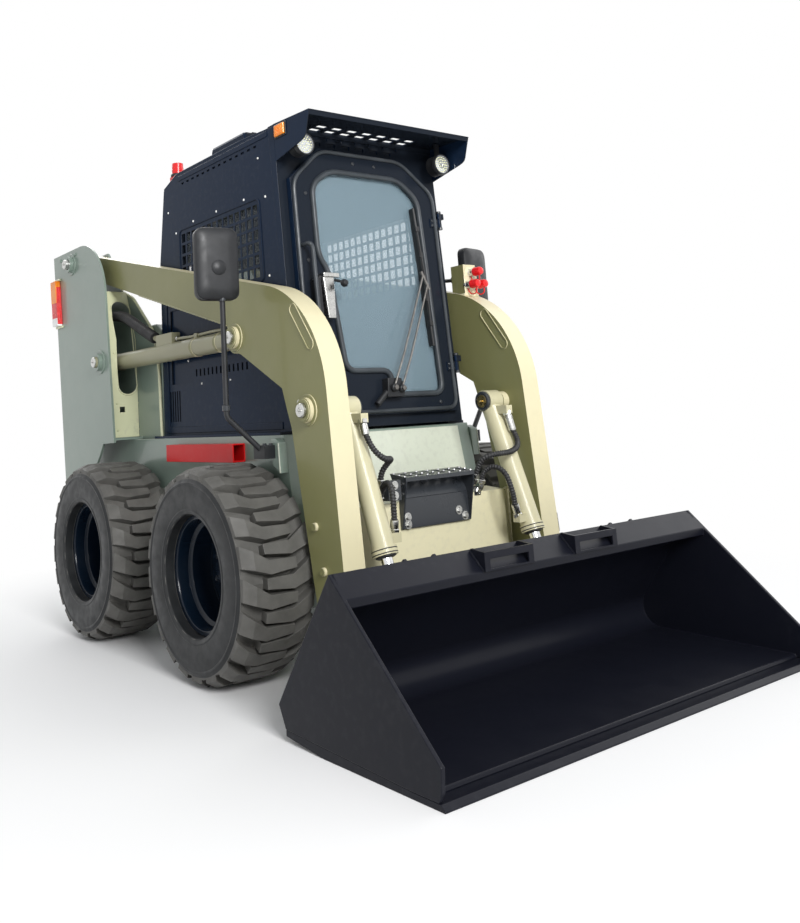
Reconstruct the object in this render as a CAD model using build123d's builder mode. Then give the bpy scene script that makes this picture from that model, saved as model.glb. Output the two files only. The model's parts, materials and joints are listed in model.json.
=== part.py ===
from build123d import *
import math
import os

os.makedirs("parts", exist_ok=True)

# Skid steer loader, parked with its arms down and its bucket on the ground.
# Millimetres. +Z is up, the front faces -Y, +X is the driver's left. z = 0 is the ground.
# Side-view points are written (y, z). Left and right pieces share one drawing, on side +1 or -1.

SIDES = (("right", -1), ("left", 1))

# ---------------------------------------------------------------- driving dimensions
WHEELBASE = 1100
FRONT_AXLE_Y = -300
REAR_AXLE_Y = FRONT_AXLE_Y + WHEELBASE
TYRE_RADIUS = 402
TYRE_WIDTH = 305
TYRE_X = 675
RIM_RADIUS = 222
HALF_LENGTH = 1721

BUCKET_HALF = 900
ARM_INNER = 464
ARM_OUTER = 560
ARM_MID = (ARM_INNER + ARM_OUTER) / 2

LIFT_PIVOT = (1432, 1890)
LIFT_BASE = (1041, 1309)
LIFT_EYE = (-242, 1310)
TILT_TOP = (-742, 994)
TILT_EYE = (-985, 285)
BUCKET_PIVOT = (-835, 175)
TILT_X = 384

CAB_HALF = 445
CAB_WALL = 40
CAB_BASE = 916
CAB_REAR = 667
ROOF_Z = 2202
SHEET = 12


# ---------------------------------------------------------------- drawing helpers
def slab(points, x_from, x_to, mode=Mode.ADD):
    """Plate cut to a straight-sided outline in the side view, between two x planes."""
    with BuildSketch(Plane.YZ.offset(x_from)) as outline:
        with BuildLine():
            Polyline(*points, close=True)
        make_face()
    extrude(outline.sketch, amount=x_to - x_from, mode=mode)


def round_bar(center, radius, x_from, x_to, mode=Mode.ADD):
    """Round bar along X, centred on a point of the side view."""
    with BuildSketch(Plane.YZ.offset(x_from)) as section:
        with Locations(center):
            Circle(radius)
    extrude(section.sketch, amount=x_to - x_from, mode=mode)


def block(x, y, z, mode=Mode.ADD):
    """Box between two planes on each axis, each given as (from, to)."""
    with Locations(tuple((a + b) / 2 for a, b in (x, y, z))):
        Box(abs(x[1] - x[0]), abs(y[1] - y[0]), abs(z[1] - z[0]), mode=mode)


def rod(start, end, radius, x, mode=Mode.ADD):
    """Round rod between two points of the side view, at one x."""
    along = Vector(0, end[0] - start[0], end[1] - start[1])
    with BuildSketch(Plane(origin=(x, *start), x_dir=(1, 0, 0), z_dir=along)) as section:
        Circle(radius)
    extrude(section.sketch, amount=along.length, mode=mode)


def between(start, end, distance):
    """Point of the side view at a distance from start towards end."""
    length = math.dist(start, end)
    return tuple(a + (b - a) * distance / length for a, b in zip(start, end))


def save(piece, label):
    """Label a finished piece and write it as its own file."""
    piece.part.label = label
    export_step(piece.part, f"parts/{label}.step")


# ---------------------------------------------------------------- wheels
SIDEWALL_X = TYRE_WIDTH / 2
CARCASS_SIDES = 18
CARCASS_RADIUS = 366
TYRE_BORE = RIM_RADIUS + 4
LUGS = 21
LUG_PITCH = 360 / LUGS
LUG_ROOT = 345
LUG_TOP = 398
LUG_TURN = 171.85
# Tread lug seen from outside: across the tread towards its own side, along the tread.
LUG_OUTLINE = ((SIDEWALL_X, 56), (SIDEWALL_X, -22), (48, -56), (-64, -45), (-64, -8), (48, -6))
# The lugs' outer ends slope off along this line: across the tread, radius.
LUG_SHOULDER = ((105, 400), (SIDEWALL_X, 376))

# Rim half section: across the wheel, radius.
RIM_SECTION = ((112, 222), (112, 204), (102, 200), (60, 200), (52, 183), (-33, 183), (-33, 0), (-45, 0), (-45, 183),
               (-52, 183), (-60, 200), (-102, 200), (-112, 204), (-112, 222), (-104, 222), (-98, 209), (-62, 209),
               (-54, 192), (54, 192), (62, 209), (98, 209), (104, 222))
DISC_INNER_X = -45
DISC_OUTER_X = -33
HUB_RADIUS = 75
HUB_LENGTH = 28
AXLE_RADIUS = 60
AXLE_FLANGE = 95
AXLE_GAP = 1

with BuildPart() as lug:
    with BuildSketch(Plane.XY.offset(LUG_ROOT)):
        with BuildLine():
            Polyline(*LUG_OUTLINE, close=True)
        make_face()
    extrude(amount=LUG_TOP - LUG_ROOT)
    (shoulder_x, shoulder_r), (end_x, end_r) = LUG_SHOULDER
    split(bisect_by=Plane(origin=(shoulder_x, 0, shoulder_r), z_dir=(shoulder_r - end_r, 0, end_x - shoulder_x)),
          keep=Keep.BOTTOM)

with BuildPart() as tyre_blank:
    with BuildSketch(Plane.YZ.offset(-SIDEWALL_X)):
        RegularPolygon(CARCASS_RADIUS, CARCASS_SIDES)
    extrude(amount=TYRE_WIDTH)
    with Locations(*(Location((0, 0, 0), (LUG_TURN + turn * LUG_PITCH, 0, 0)) for turn in range(LUGS))):
        add(lug.part)
    with Locations(*(Location((0, 0, 0), (LUG_TURN + (turn + 0.5) * LUG_PITCH, 0, 0)) for turn in range(LUGS))):
        add(mirror(lug.part, about=Plane.YZ, mode=Mode.PRIVATE))
    with BuildSketch(Plane.YZ.offset(-SIDEWALL_X)):
        RegularPolygon(TYRE_BORE, CARCASS_SIDES, major_radius=False)
    extrude(amount=TYRE_WIDTH, mode=Mode.SUBTRACT)

with BuildPart() as rim_blank:
    with BuildSketch(Plane.XZ):
        with BuildLine():
            Polyline(*RIM_SECTION, close=True)
        make_face()
    revolve(axis=Axis.X)
    with BuildSketch(Plane.YZ.offset(DISC_OUTER_X)):
        Circle(HUB_RADIUS)
    extrude(amount=HUB_LENGTH)

for axle, axle_y in (("front", FRONT_AXLE_Y), ("rear", REAR_AXLE_Y)):
    for side_name, side in SIDES:
        with BuildPart() as tyre:
            with Locations((side * TYRE_X, axle_y, TYRE_RADIUS)):
                add(tyre_blank.part)
        save(tyre, f"tyre_{axle}_{side_name}")

        with BuildPart() as rim:
            with Locations(Location((side * TYRE_X, axle_y, TYRE_RADIUS), (0, 0, 90 - side * 90))):
                add(rim_blank.part)
        save(rim, f"rim_{axle}_{side_name}")

# ---------------------------------------------------------------- chassis
TUB_HALF = 500
TUB_BASE = 230
TUB_TOP = 905
TUB_FRONT = -525
TUB_REAR = 1530
TUB_OUTLINE = ((TUB_FRONT + 45, TUB_TOP), (TUB_FRONT, 640), (TUB_FRONT, 330), (TUB_FRONT + 100, TUB_BASE),
               (TUB_REAR - 90, TUB_BASE), (TUB_REAR, 330), (TUB_REAR + 15, 560), (TUB_REAR + 15, 620),
               (TUB_REAR - 60, 628), (TUB_REAR - 25, TUB_TOP))

with BuildPart() as chassis:
    slab(TUB_OUTLINE, -TUB_HALF, TUB_HALF)
    slab(((TUB_FRONT + 60, TUB_TOP + 50), (TUB_FRONT + SHEET, 640), (TUB_FRONT + SHEET, 335),
          (TUB_FRONT + 105, TUB_BASE + SHEET), (TUB_REAR - 95, TUB_BASE + SHEET), (TUB_REAR - SHEET, 335),
          (TUB_REAR + 3, 560), (TUB_REAR + 3, 608), (TUB_REAR - 75, 616), (TUB_REAR - 75, 640),
          (TUB_REAR + 70, 640), (TUB_REAR + 70, TUB_TOP + 50)),
         -TUB_HALF + SHEET, TUB_HALF - SHEET, mode=Mode.SUBTRACT)
save(chassis, "chassis")

with BuildPart() as axle_tubes:
    for _, side in SIDES:
        for axle_y in (FRONT_AXLE_Y, REAR_AXLE_Y):
            round_bar((axle_y, TYRE_RADIUS), AXLE_RADIUS, side * (TUB_HALF + 0.2),
                      side * (TYRE_X + DISC_INNER_X - AXLE_GAP))
            round_bar((axle_y, TYRE_RADIUS), AXLE_FLANGE, side * (TUB_HALF + 0.2), side * (TUB_HALF + 14))
save(axle_tubes, "axle_tubes")

PANEL_HALF = 430
with BuildPart() as front_panel:
    slab(((TUB_FRONT + 43, TUB_TOP - 10), (TUB_FRONT + 36, TUB_TOP - 10), (TUB_FRONT - 6, 648), (TUB_FRONT + 1, 648)),
         -PANEL_HALF, PANEL_HALF)
save(front_panel, "front_panel")

# ---------------------------------------------------------------- towers
TOWER_OUT = 620
TOWER_OUT_INNER = 608
TOWER_IN = 456
TOWER_IN_INNER = 444
TOWER_TOP = 1973
TOWER_REAR_LEAN = 0.1262
TOWER_FOOT = 600


def tower_rear(z):
    """y of the tower's leaning rear edge at a height."""
    return HALF_LENGTH - 5 - TOWER_REAR_LEAN * (TOWER_TOP - z)


PIN_RADIUS = 28
COLLAR_RADIUS = 46
PIN_GAP = 1.5
COLLAR_OUT = 26
PLATE_INSET = 20

with BuildPart() as outer_plate_blank:
    with BuildSketch(Plane.YZ):
        with BuildLine():
            top = Line((tower_rear(TOWER_TOP), TOWER_TOP), (1310, TOWER_TOP))
            brow = TangentArc(top @ 1, (972, 1690), tangent=top % 1)
            Polyline(brow @ 1, (887, 894), (1023, 889), (1065, 834), (1150, 752), (1225, TOWER_FOOT),
                     (tower_rear(TOWER_FOOT), TOWER_FOOT), top @ 0)
        make_face()
    extrude(amount=SHEET)

with BuildPart() as inner_plate_blank:
    with BuildSketch(Plane.YZ):
        with BuildLine():
            Polyline((tower_rear(TOWER_TOP - 30) - PLATE_INSET, TOWER_TOP - 30), (1310, TOWER_TOP - 30),
                     (1200, 1830), (1137, 1704), (993, 1647), (750, 1436), (705, 1240), (690, TUB_TOP),
                     (tower_rear(TUB_TOP) - PLATE_INSET, TUB_TOP), close=True)
        make_face()
    extrude(amount=SHEET)

# Front line of the cover between the plates: it leans back above the crease.
COVER_LINE = ((937, TUB_TOP + SHEET + 1), (957, 1420), (1062, 1688))
COVER_SHEET = 8
COVER_SLOT = (1137, 1630)
COVER_SLOT_WIDTH = 106
COVER_HOLE = (545, 1058, 28)
COVER_Y = (900, 1100)
FLOOR_PLATE_FRONT = 899
REAR_PLATE_TOP = 1700
DOOR_KNUCKLE = 8
REAR_HINGE_X = -434
REAR_HINGE_INSET = 28
REAR_HINGES = (960, 1400)
REAR_KNUCKLE_HALF = 24


def rear_hinge(z, radius, low, high, mode=Mode.ADD):
    """Round knuckle on the rear door's leaning hinge line, from low to high about a height."""
    lean = Vector(0, TOWER_REAR_LEAN, 1).normalized()
    root = Vector(REAR_HINGE_X, tower_rear(z) - REAR_HINGE_INSET, z)
    with BuildSketch(Plane(origin=root + lean * low, x_dir=(1, 0, 0), z_dir=lean)) as section:
        Circle(radius)
    extrude(section.sketch, amount=high - low, mode=mode)


for side_name, side in SIDES:
    with BuildPart() as tower:
        for blank, x_low in ((outer_plate_blank, min(side * TOWER_OUT, side * TOWER_OUT_INNER)),
                             (inner_plate_blank, min(side * TOWER_IN, side * TOWER_IN_INNER))):
            with Locations((x_low, 0, 0)):
                add(blank.part)
        slab(((tower_rear(REAR_PLATE_TOP) - 10, REAR_PLATE_TOP), (tower_rear(REAR_PLATE_TOP) - 22, REAR_PLATE_TOP),
              (tower_rear(TUB_TOP) - 22, TUB_TOP), (tower_rear(TUB_TOP) - 10, TUB_TOP)),
             side * TOWER_IN, side * TOWER_OUT_INNER)
        block((side * TOWER_IN_INNER, side * TOWER_OUT), (FLOOR_PLATE_FRONT, tower_rear(TUB_TOP) - 10),
              (TUB_TOP, TUB_TOP + SHEET))
        for pivot in (LIFT_PIVOT, LIFT_BASE):
            round_bar(pivot, COLLAR_RADIUS, side * TOWER_OUT, side * (TOWER_OUT + COLLAR_OUT))
            round_bar(pivot, PIN_RADIUS + PIN_GAP, side * TOWER_IN_INNER, side * (TOWER_OUT + COLLAR_OUT),
                      mode=Mode.SUBTRACT)
        if side < 0:
            for z in REAR_HINGES:
                rear_hinge(z, DOOR_KNUCKLE, REAR_KNUCKLE_HALF + 1, 2 * REAR_KNUCKLE_HALF)
                y = tower_rear(z + 1.5 * REAR_KNUCKLE_HALF)
                block((REAR_HINGE_X, -TOWER_IN_INNER - 1), (y - 32, y - 24),
                      (z + REAR_KNUCKLE_HALF + 4, z + 2 * REAR_KNUCKLE_HALF - 4))
    save(tower, f"tower_{side_name}")

    with BuildPart() as cover:
        slab((*COVER_LINE, *((y + COVER_SHEET, z) for y, z in reversed(COVER_LINE))),
             side * (TOWER_IN + 1), side * (TOWER_OUT_INNER - 1))
        with BuildSketch(Plane.XZ.offset(-COVER_Y[1])):
            with Locations((side * ARM_MID, (COVER_SLOT[0] + COVER_SLOT[1]) / 2)):
                SlotOverall(COVER_SLOT[1] - COVER_SLOT[0], COVER_SLOT_WIDTH, rotation=90)
            with Locations((side * COVER_HOLE[0], COVER_HOLE[1])):
                Rectangle(COVER_HOLE[2], COVER_HOLE[2])
        extrude(amount=COVER_Y[1] - COVER_Y[0], mode=Mode.SUBTRACT)
    save(cover, f"tower_cover_{side_name}")

# ---------------------------------------------------------------- engine bay
HOOD_HALF = 440
HOOD_TOP = 1480
HOOD_FRONT = CAB_REAR + 18
DOOR_GAP = 8
REAR_DOOR_THICK = 36
REAR_DOOR_FOOT = 640
GRILLE_SLOT = (300, 18)
GRILLE_COLUMNS = (-170, 170)
GRILLE_LOW = 960
GRILLE_PITCH = 44
GRILLE_ROWS = 10


def rear_line(inset, z):
    """Point of the leaning rear face, moved in by inset, at a height."""
    return tower_rear(z) - 30 - inset, z


with BuildPart() as engine_hood:
    slab(((HOOD_FRONT, TUB_TOP), (HOOD_FRONT, HOOD_TOP - 40), (HOOD_FRONT + 60, HOOD_TOP),
          rear_line(REAR_DOOR_THICK + DOOR_GAP, HOOD_TOP), rear_line(REAR_DOOR_THICK + DOOR_GAP, TUB_TOP)),
         -HOOD_HALF, HOOD_HALF)
    slab(((HOOD_FRONT + SHEET, TUB_TOP - 10), (HOOD_FRONT + SHEET, HOOD_TOP - 55),
          (HOOD_FRONT + 65, HOOD_TOP - SHEET), rear_line(-100, HOOD_TOP - SHEET), rear_line(-100, TUB_TOP - 10)),
         -HOOD_HALF + SHEET, HOOD_HALF - SHEET, mode=Mode.SUBTRACT)
save(engine_hood, "engine_hood")

with BuildPart() as engine_block:
    block((-270, 270), (HOOD_FRONT + 60, 1380), (420, 1180))
save(engine_block, "engine_block")

EXHAUST = (250, 900)
with BuildPart() as exhaust:
    with Locations((*EXHAUST, HOOD_TOP)):
        Cylinder(45, 30, align=(Align.CENTER, Align.CENTER, Align.MIN))
        Cylinder(30, 220, align=(Align.CENTER, Align.CENTER, Align.MIN))
save(exhaust, "exhaust")

with BuildPart() as rear_door:
    slab((rear_line(0, HOOD_TOP), rear_line(REAR_DOOR_THICK, HOOD_TOP),
          rear_line(REAR_DOOR_THICK, REAR_DOOR_FOOT), rear_line(0, REAR_DOOR_FOOT)),
         -HOOD_HALF + DOOR_GAP, HOOD_HALF - DOOR_GAP)
    for row in range(GRILLE_ROWS):
        for column in GRILLE_COLUMNS:
            with Locations((column, rear_line(0, GRILLE_LOW)[0], GRILLE_LOW + row * GRILLE_PITCH)):
                Box(GRILLE_SLOT[0], 400, GRILLE_SLOT[1], mode=Mode.SUBTRACT)
    for z in REAR_HINGES:
        block((-HOOD_HALF, REAR_HINGE_X + DOOR_KNUCKLE + 8), (1400, 1800),
              (z + REAR_KNUCKLE_HALF - 4, z + 2 * REAR_KNUCKLE_HALF + 4), mode=Mode.SUBTRACT)
        rear_hinge(z, DOOR_KNUCKLE, -REAR_KNUCKLE_HALF, REAR_KNUCKLE_HALF - 5)
save(rear_door, "rear_door")

# ---------------------------------------------------------------- cab
FRONT_LEAN = 0.0600
FRONT_FOOT = (-506, CAB_BASE)
FRONT_UP = Vector(0, FRONT_LEAN, 1).normalized()
FRONT_OUT = Vector(0, -FRONT_UP.Z, FRONT_UP.Y)
front_plane = Plane(origin=(0, *FRONT_FOOT), x_dir=(1, 0, 0), z_dir=FRONT_OUT)
FRAME_THICK = 40
FRAME_HEIGHT = 1275
DOOR_THICK = 28


def front_y(z):
    """y of the cab's leaning front face at a height."""
    return FRONT_FOOT[0] + FRONT_LEAN * (z - CAB_BASE)


def frame_back(z):
    """y of the front frame's rear face at a height."""
    return front_y(z) + FRAME_THICK / FRONT_UP.Z


SIDE_OUTLINE = ((frame_back(CAB_BASE), CAB_BASE), (frame_back(2190), 2190), (462, ROOF_Z - 12),
                (604, 2142), (CAB_REAR, 1771), (CAB_REAR, CAB_BASE))
MESH_PITCH = (51, 55)
MESH_HOLE = (38, 42)
MESH_COUNT = (14, 6)
MESH_CENTER = (75, 1724)
MESH_FRAME = ((429, 1570), (-305, 1560), (-280, 1888), (429, 1888))
SKIN = 5
SLIT_DEPTH = 8
# Rows of slits in the side wall. Columns: middle y, middle z, width, height, pitch, count.
SLIT_ROWS = ((90, 1201, 14, 33, 38, 13), (543, 1053, 12, 146, 24, 5), (60, 2136, 26, 10, 52, 14))
SIDE_RECESS = ((350, 570), (1160, 1520))

for side_name, side in SIDES:
    with BuildPart() as cab_side:
        slab(SIDE_OUTLINE, side * (CAB_HALF - CAB_WALL), side * CAB_HALF)
        slab(MESH_FRAME, side * (CAB_HALF - CAB_WALL), side * (CAB_HALF - SKIN), mode=Mode.SUBTRACT)
        with BuildSketch(Plane.YZ.offset(side * (CAB_HALF - SKIN))):
            with Locations(MESH_CENTER):
                with GridLocations(*MESH_PITCH, *MESH_COUNT):
                    Rectangle(*MESH_HOLE)
        extrude(amount=side * SKIN, mode=Mode.SUBTRACT)
        with BuildSketch(Plane.YZ.offset(side * (CAB_HALF - SLIT_DEPTH))):
            for y, z, width, height, pitch, count in SLIT_ROWS:
                with Locations((y, z)):
                    with GridLocations(pitch, pitch, count, 1):
                        Rectangle(width, height)
        extrude(amount=side * SLIT_DEPTH, mode=Mode.SUBTRACT)
        block((side * (CAB_HALF - SLIT_DEPTH), side * CAB_HALF), *SIDE_RECESS, mode=Mode.SUBTRACT)
    save(cab_side, f"cab_side_{side_name}")

with BuildPart() as cab_rear:
    slab(((CAB_REAR, CAB_BASE), (CAB_REAR, 1771), (604, 2142), (604 - CAB_WALL, 2146), (CAB_REAR - CAB_WALL, 1765),
          (CAB_REAR - CAB_WALL, CAB_BASE)), -CAB_HALF + CAB_WALL, CAB_HALF - CAB_WALL)
    block((-300, 300), (500, 800), (1380, 1770), mode=Mode.SUBTRACT)
save(cab_rear, "cab_rear")

PANE = 6
with BuildPart() as cab_windows:
    for _, side in SIDES:
        slab(((425, 1574), (-300, 1564), (-276, 1884), (425, 1884)),
             side * (CAB_HALF - CAB_WALL + 8), side * (CAB_HALF - CAB_WALL + 8 + PANE))
    block((-299, 299), (CAB_REAR - 24, CAB_REAR - 24 + PANE), (1381, 1769))
save(cab_windows, "cab_windows")

ROOF_BREAK = (462, ROOF_Z)
ROOF_TAIL = (604, 2154)
with BuildPart() as cab_roof:
    slab(((frame_back(2190), 2190), (-161, ROOF_Z), ROOF_BREAK, ROOF_TAIL, (604, 2142), (462, ROOF_Z - 12)),
         -CAB_HALF, CAB_HALF)
save(cab_roof, "cab_roof")

VISOR_FRONT = (-692, 2184)
VISOR_LIP = (-686, 2164)
VISOR_SHEET = 5
VISOR_BACK = (front_y(2190) - 1, 2190)
# Cheek plate under the visor, with a rounded lower corner.
VISOR_CHEEK = (VISOR_FRONT, (-662, 2092), (-654, 2080), (-641, 2073), (-624, 2068), (front_y(2032) - 1, 2032),
               VISOR_BACK)
VISOR_SLOT = (50, 34)
VISOR_SLOT_PITCH = (82.5, 53)
VISOR_SLOT_COUNT = (7, 2)
VISOR_SLOT_Y = -478.5
with BuildPart() as cab_visor:
    slab((VISOR_FRONT, (VISOR_FRONT[0], VISOR_FRONT[1] - VISOR_SHEET), VISOR_BACK,
          (VISOR_BACK[0], VISOR_BACK[1] + VISOR_SHEET)), -CAB_HALF, CAB_HALF)
    slab((VISOR_FRONT, VISOR_LIP, (VISOR_LIP[0] + VISOR_SHEET, VISOR_LIP[1]),
          (VISOR_FRONT[0] + 12, VISOR_FRONT[1] - VISOR_SHEET)), -CAB_HALF, CAB_HALF)
    for _, side in SIDES:
        slab(VISOR_CHEEK, side * (CAB_HALF - VISOR_SHEET), side * CAB_HALF)
    with BuildSketch(Plane.XY.offset(VISOR_LIP[1])):
        with Locations((0, VISOR_SLOT_Y)):
            with GridLocations(*VISOR_SLOT_PITCH, *VISOR_SLOT_COUNT):
                Rectangle(*VISOR_SLOT)
    extrude(amount=50, mode=Mode.SUBTRACT)
save(cab_visor, "cab_visor")

DOOR_OPENING = ((-375, 70), (-375, 1030), (-230, 1170), (230, 1170), (375, 1030), (375, 70))
DOOR_OUTLINE = ((-190, 45), (-402, 470), (-402, 1042), (-245, 1190), (215, 1190), (402, 1042), (402, 45))
WINDOW = ((-296, 716), (-296, 1021), (-203, 1090), (187, 1090), (293, 1003), (315, 124), (30, 124), (30, 228),
          (-204, 228), (-250, 646))

# Header slots in the front frame. Columns: middle x, height, pitch, count.
HEADER_SLOTS = ((-29, 1251, 80, 7), (-69, 1222, 80, 7))
HEADER_SLOT = (46, 18)
HEADER_DEPTH = 6

HINGE_X = 418
HINGE_OUT = 36 / math.hypot(1, FRONT_LEAN)
HINGE_HEIGHTS = (254, 916)
HINGE_RADIUS = 9
HINGE_HALF = 34
HINGE_SPLIT = 6


def front_box(x, height, out, mode=Mode.ADD):
    """Box square to the leaning front face, each size given as (from, to)."""
    with BuildSketch(front_plane.offset(out[0])) as face:
        with Locations(((x[0] + x[1]) / 2, (height[0] + height[1]) / 2)):
            Rectangle(x[1] - x[0], height[1] - height[0])
    extrude(face.sketch, amount=out[1] - out[0], mode=mode)


def front_hinge(low, high):
    """Round knuckle on the front door's hinge line, between two heights up the front face."""
    base = front_plane.from_local_coords(Vector(HINGE_X, low, HINGE_OUT))
    with BuildSketch(Plane(origin=base, x_dir=(1, 0, 0), z_dir=FRONT_UP)) as section:
        Circle(HINGE_RADIUS)
    extrude(section.sketch, amount=high - low)


with BuildPart() as cab_front_frame:
    with BuildSketch(front_plane.offset(-FRAME_THICK)):
        with BuildLine():
            Polyline((-CAB_HALF, 0), (-CAB_HALF, FRAME_HEIGHT), (CAB_HALF, FRAME_HEIGHT), (CAB_HALF, 0), close=True)
        make_face()
        with BuildLine():
            Polyline(*DOOR_OPENING, close=True)
        make_face(mode=Mode.SUBTRACT)
    extrude(amount=FRAME_THICK)
    with BuildSketch(front_plane.offset(-HEADER_DEPTH)):
        for x, height, pitch, count in HEADER_SLOTS:
            with Locations((x, height)):
                with GridLocations(pitch, pitch, count, 1):
                    Rectangle(*HEADER_SLOT)
    extrude(amount=HEADER_DEPTH, mode=Mode.SUBTRACT)
    for height in HINGE_HEIGHTS:
        front_hinge(height + HINGE_SPLIT + 1, height + HINGE_HALF)
        front_box((HINGE_X, CAB_HALF), (height + HINGE_SPLIT + 1, height + HINGE_HALF), (HINGE_OUT - 4, HINGE_OUT + 4))
        front_box((CAB_HALF - 10, CAB_HALF), (height + HINGE_SPLIT + 1, height + HINGE_HALF), (-1, HINGE_OUT + 4))
save(cab_front_frame, "cab_front_frame")

DOOR_STANDOFF = 2
DOOR_FACE = DOOR_STANDOFF + DOOR_THICK
HINGE_LEAF = 58
with BuildPart() as front_door:
    with BuildSketch(front_plane.offset(DOOR_STANDOFF)):
        with BuildLine():
            Polyline(*DOOR_OUTLINE, close=True)
        make_face()
        with BuildLine():
            Polyline(*WINDOW, close=True)
        make_face(mode=Mode.SUBTRACT)
    extrude(amount=DOOR_THICK)
    for height in HINGE_HEIGHTS:
        front_hinge(height - HINGE_HALF, height + HINGE_SPLIT)
        front_box((HINGE_X - HINGE_LEAF, HINGE_X), (height - HINGE_HALF, height + HINGE_SPLIT),
                  (DOOR_FACE - 1, HINGE_OUT))
save(front_door, "front_door")

GLASS_OUT = 10
GLASS_THICK = 6
with BuildPart() as door_glass:
    with BuildSketch(front_plane.offset(GLASS_OUT)):
        with BuildLine():
            Polyline(*WINDOW, close=True)
        make_face()
    extrude(amount=GLASS_THICK)
save(door_glass, "door_glass")

# Latch plate, latch handle and wiper motor on the door, standing out from its face.
# Columns: x from, x to, height from, height to, out to.
DOOR_BOXES = ((-300, -256, 470, 620, 14), (-290, -268, 510, 590, 32), (-20, 54, 122, 182, 38))
with BuildPart() as door_fittings:
    for x_from, x_to, low, high, out in DOOR_BOXES:
        front_box((x_from, x_to), (low, high), (DOOR_FACE + 0.2, DOOR_FACE + out))
save(door_fittings, "door_fittings")

FLOOR_Z = 560
with BuildPart() as cab_floor:
    block((-TUB_HALF + SHEET, TUB_HALF - SHEET), (TUB_FRONT + 30, CAB_REAR - 60), (FLOOR_Z, FLOOR_Z + SHEET))
    block((-TUB_HALF + SHEET, TUB_HALF - SHEET), (CAB_REAR - 60, CAB_REAR - 48), (FLOOR_Z, TUB_TOP))
save(cab_floor, "cab_floor")

with BuildPart() as cab_sill:
    for _, side in SIDES:
        block((side * (CAB_HALF - CAB_WALL), side * TUB_HALF), (TUB_FRONT + 70, CAB_REAR), (TUB_TOP, CAB_BASE))
save(cab_sill, "cab_sill")

with BuildPart() as seat:
    slab(((60, FLOOR_Z + SHEET), (60, 880), (440, 880), (440, FLOOR_Z + SHEET)), -190, 190)
    slab(((-110, 880), (-135, 930), (-115, 1000), (40, 1005), (360, 985), (440, 990), (440, 880)), -240, 240)
    slab(((360, 985), (430, 1500), (455, 1545), (510, 1560), (535, 1520), (500, 1100), (470, 930), (440, 900)),
         -225, 225)
save(seat, "seat")

# Pedestal and lever of one control, in the side view.
LEVER_X = (318, 338)
PEDESTAL = ((-70, FLOOR_Z + SHEET), (40, FLOOR_Z + SHEET), (20, 905), (-60, 905))
LEVER = ((-45, 900), (-10, 900), (-55, 1095), (-62, 1150), (-110, 1150), (-100, 1090))
with BuildPart() as control_levers:
    for _, side in SIDES:
        slab(PEDESTAL, side * (LEVER_X[0] - 20), side * (LEVER_X[1] + 20))
        slab(LEVER, side * LEVER_X[0], side * LEVER_X[1])
save(control_levers, "control_levers")

# ---------------------------------------------------------------- lift arms
ARM_CROWN_RADIUS = 470
ARM_TAIL_RADIUS = 60
ARM_TOE_RADIUS = 78
ARM_TOP_SLOPE = 0.2388
BOSS_RADIUS = 66
EYE_RADIUS = 42
ARM_PLATE = 14
ARM_COLLAR = 22
TILT_EYE_HALF = 37
TILT_COLLAR = 38
LIFT_EYE_POCKET = ((-345, 1200), (-325, 1470), (-60, 1475), (-20, 1200))

# Side outline: tail over the lift pivot, straight back, crown bend, straight leg, toe round the bucket pivot.
ARM_TAIL_TOP = (LIFT_PIVOT[0] - 14, LIFT_PIVOT[1] + 58)
ARM_CROWN_START = (-502, 1491)
ARM_CROWN_END = (-862, 1066)
ARM_SHIN = (-904, 437)

with BuildPart() as arm_blank:
    with BuildSketch(Plane.YZ):
        with BuildLine():
            back = Line(ARM_TAIL_TOP, ARM_CROWN_START)
            crown = TangentArc(back @ 1, ARM_CROWN_END, tangent=back % 1)
            Polyline(crown @ 1, ARM_SHIN, (-912, 190), (-757, 190), (-712, 461), (-628, 934), (-607, 991),
                     (-576, 1083), (-283, 1237), (-195, 1262), (-178, 1368), (LIFT_PIVOT[0] + 16, LIFT_PIVOT[1] - 57),
                     back @ 0)
        make_face()
        for center, radius in ((LIFT_PIVOT, ARM_TAIL_RADIUS), (BUCKET_PIVOT, ARM_TOE_RADIUS), (LIFT_EYE, BOSS_RADIUS)):
            with Locations(center):
                Circle(radius)
    extrude(amount=ARM_OUTER - ARM_INNER)
    round_bar(BUCKET_PIVOT, PIN_RADIUS, 0, ARM_OUTER - ARM_INNER, mode=Mode.SUBTRACT)
    slab(LIFT_EYE_POCKET, ARM_PLATE, ARM_OUTER - ARM_INNER - ARM_PLATE, mode=Mode.SUBTRACT)

# Pins that turn with the arms. Columns: centre, x from, x to.
ARM_PINS = ((LIFT_PIVOT, TOWER_IN_INNER + 2, TOWER_OUT + 40), (TILT_TOP, TILT_X - TILT_EYE_HALF - 12, ARM_OUTER + 32),
            (LIFT_EYE, ARM_OUTER - ARM_PLATE, ARM_OUTER + 32))

for side_name, side in SIDES:
    with BuildPart() as arm:
        with Locations((min(side * ARM_INNER, side * ARM_OUTER), 0, 0)):
            add(arm_blank.part)
        for center in (TILT_TOP, LIFT_EYE):
            round_bar(center, COLLAR_RADIUS, side * ARM_OUTER, side * (ARM_OUTER + ARM_COLLAR))
        round_bar(TILT_TOP, TILT_COLLAR, side * (TILT_X + TILT_EYE_HALF + 11), side * ARM_INNER)
        for center, x_from, x_to in ARM_PINS:
            round_bar(center, PIN_RADIUS, side * x_from, side * x_to, mode=Mode.SUBTRACT)
    save(arm, f"arm_{side_name}")

with BuildPart() as pivot_pins:
    for _, side in SIDES:
        for center, x_from, x_to in ARM_PINS:
            round_bar(center, PIN_RADIUS - 1, side * x_from, side * x_to)
save(pivot_pins, "pivot_pins")

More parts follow.
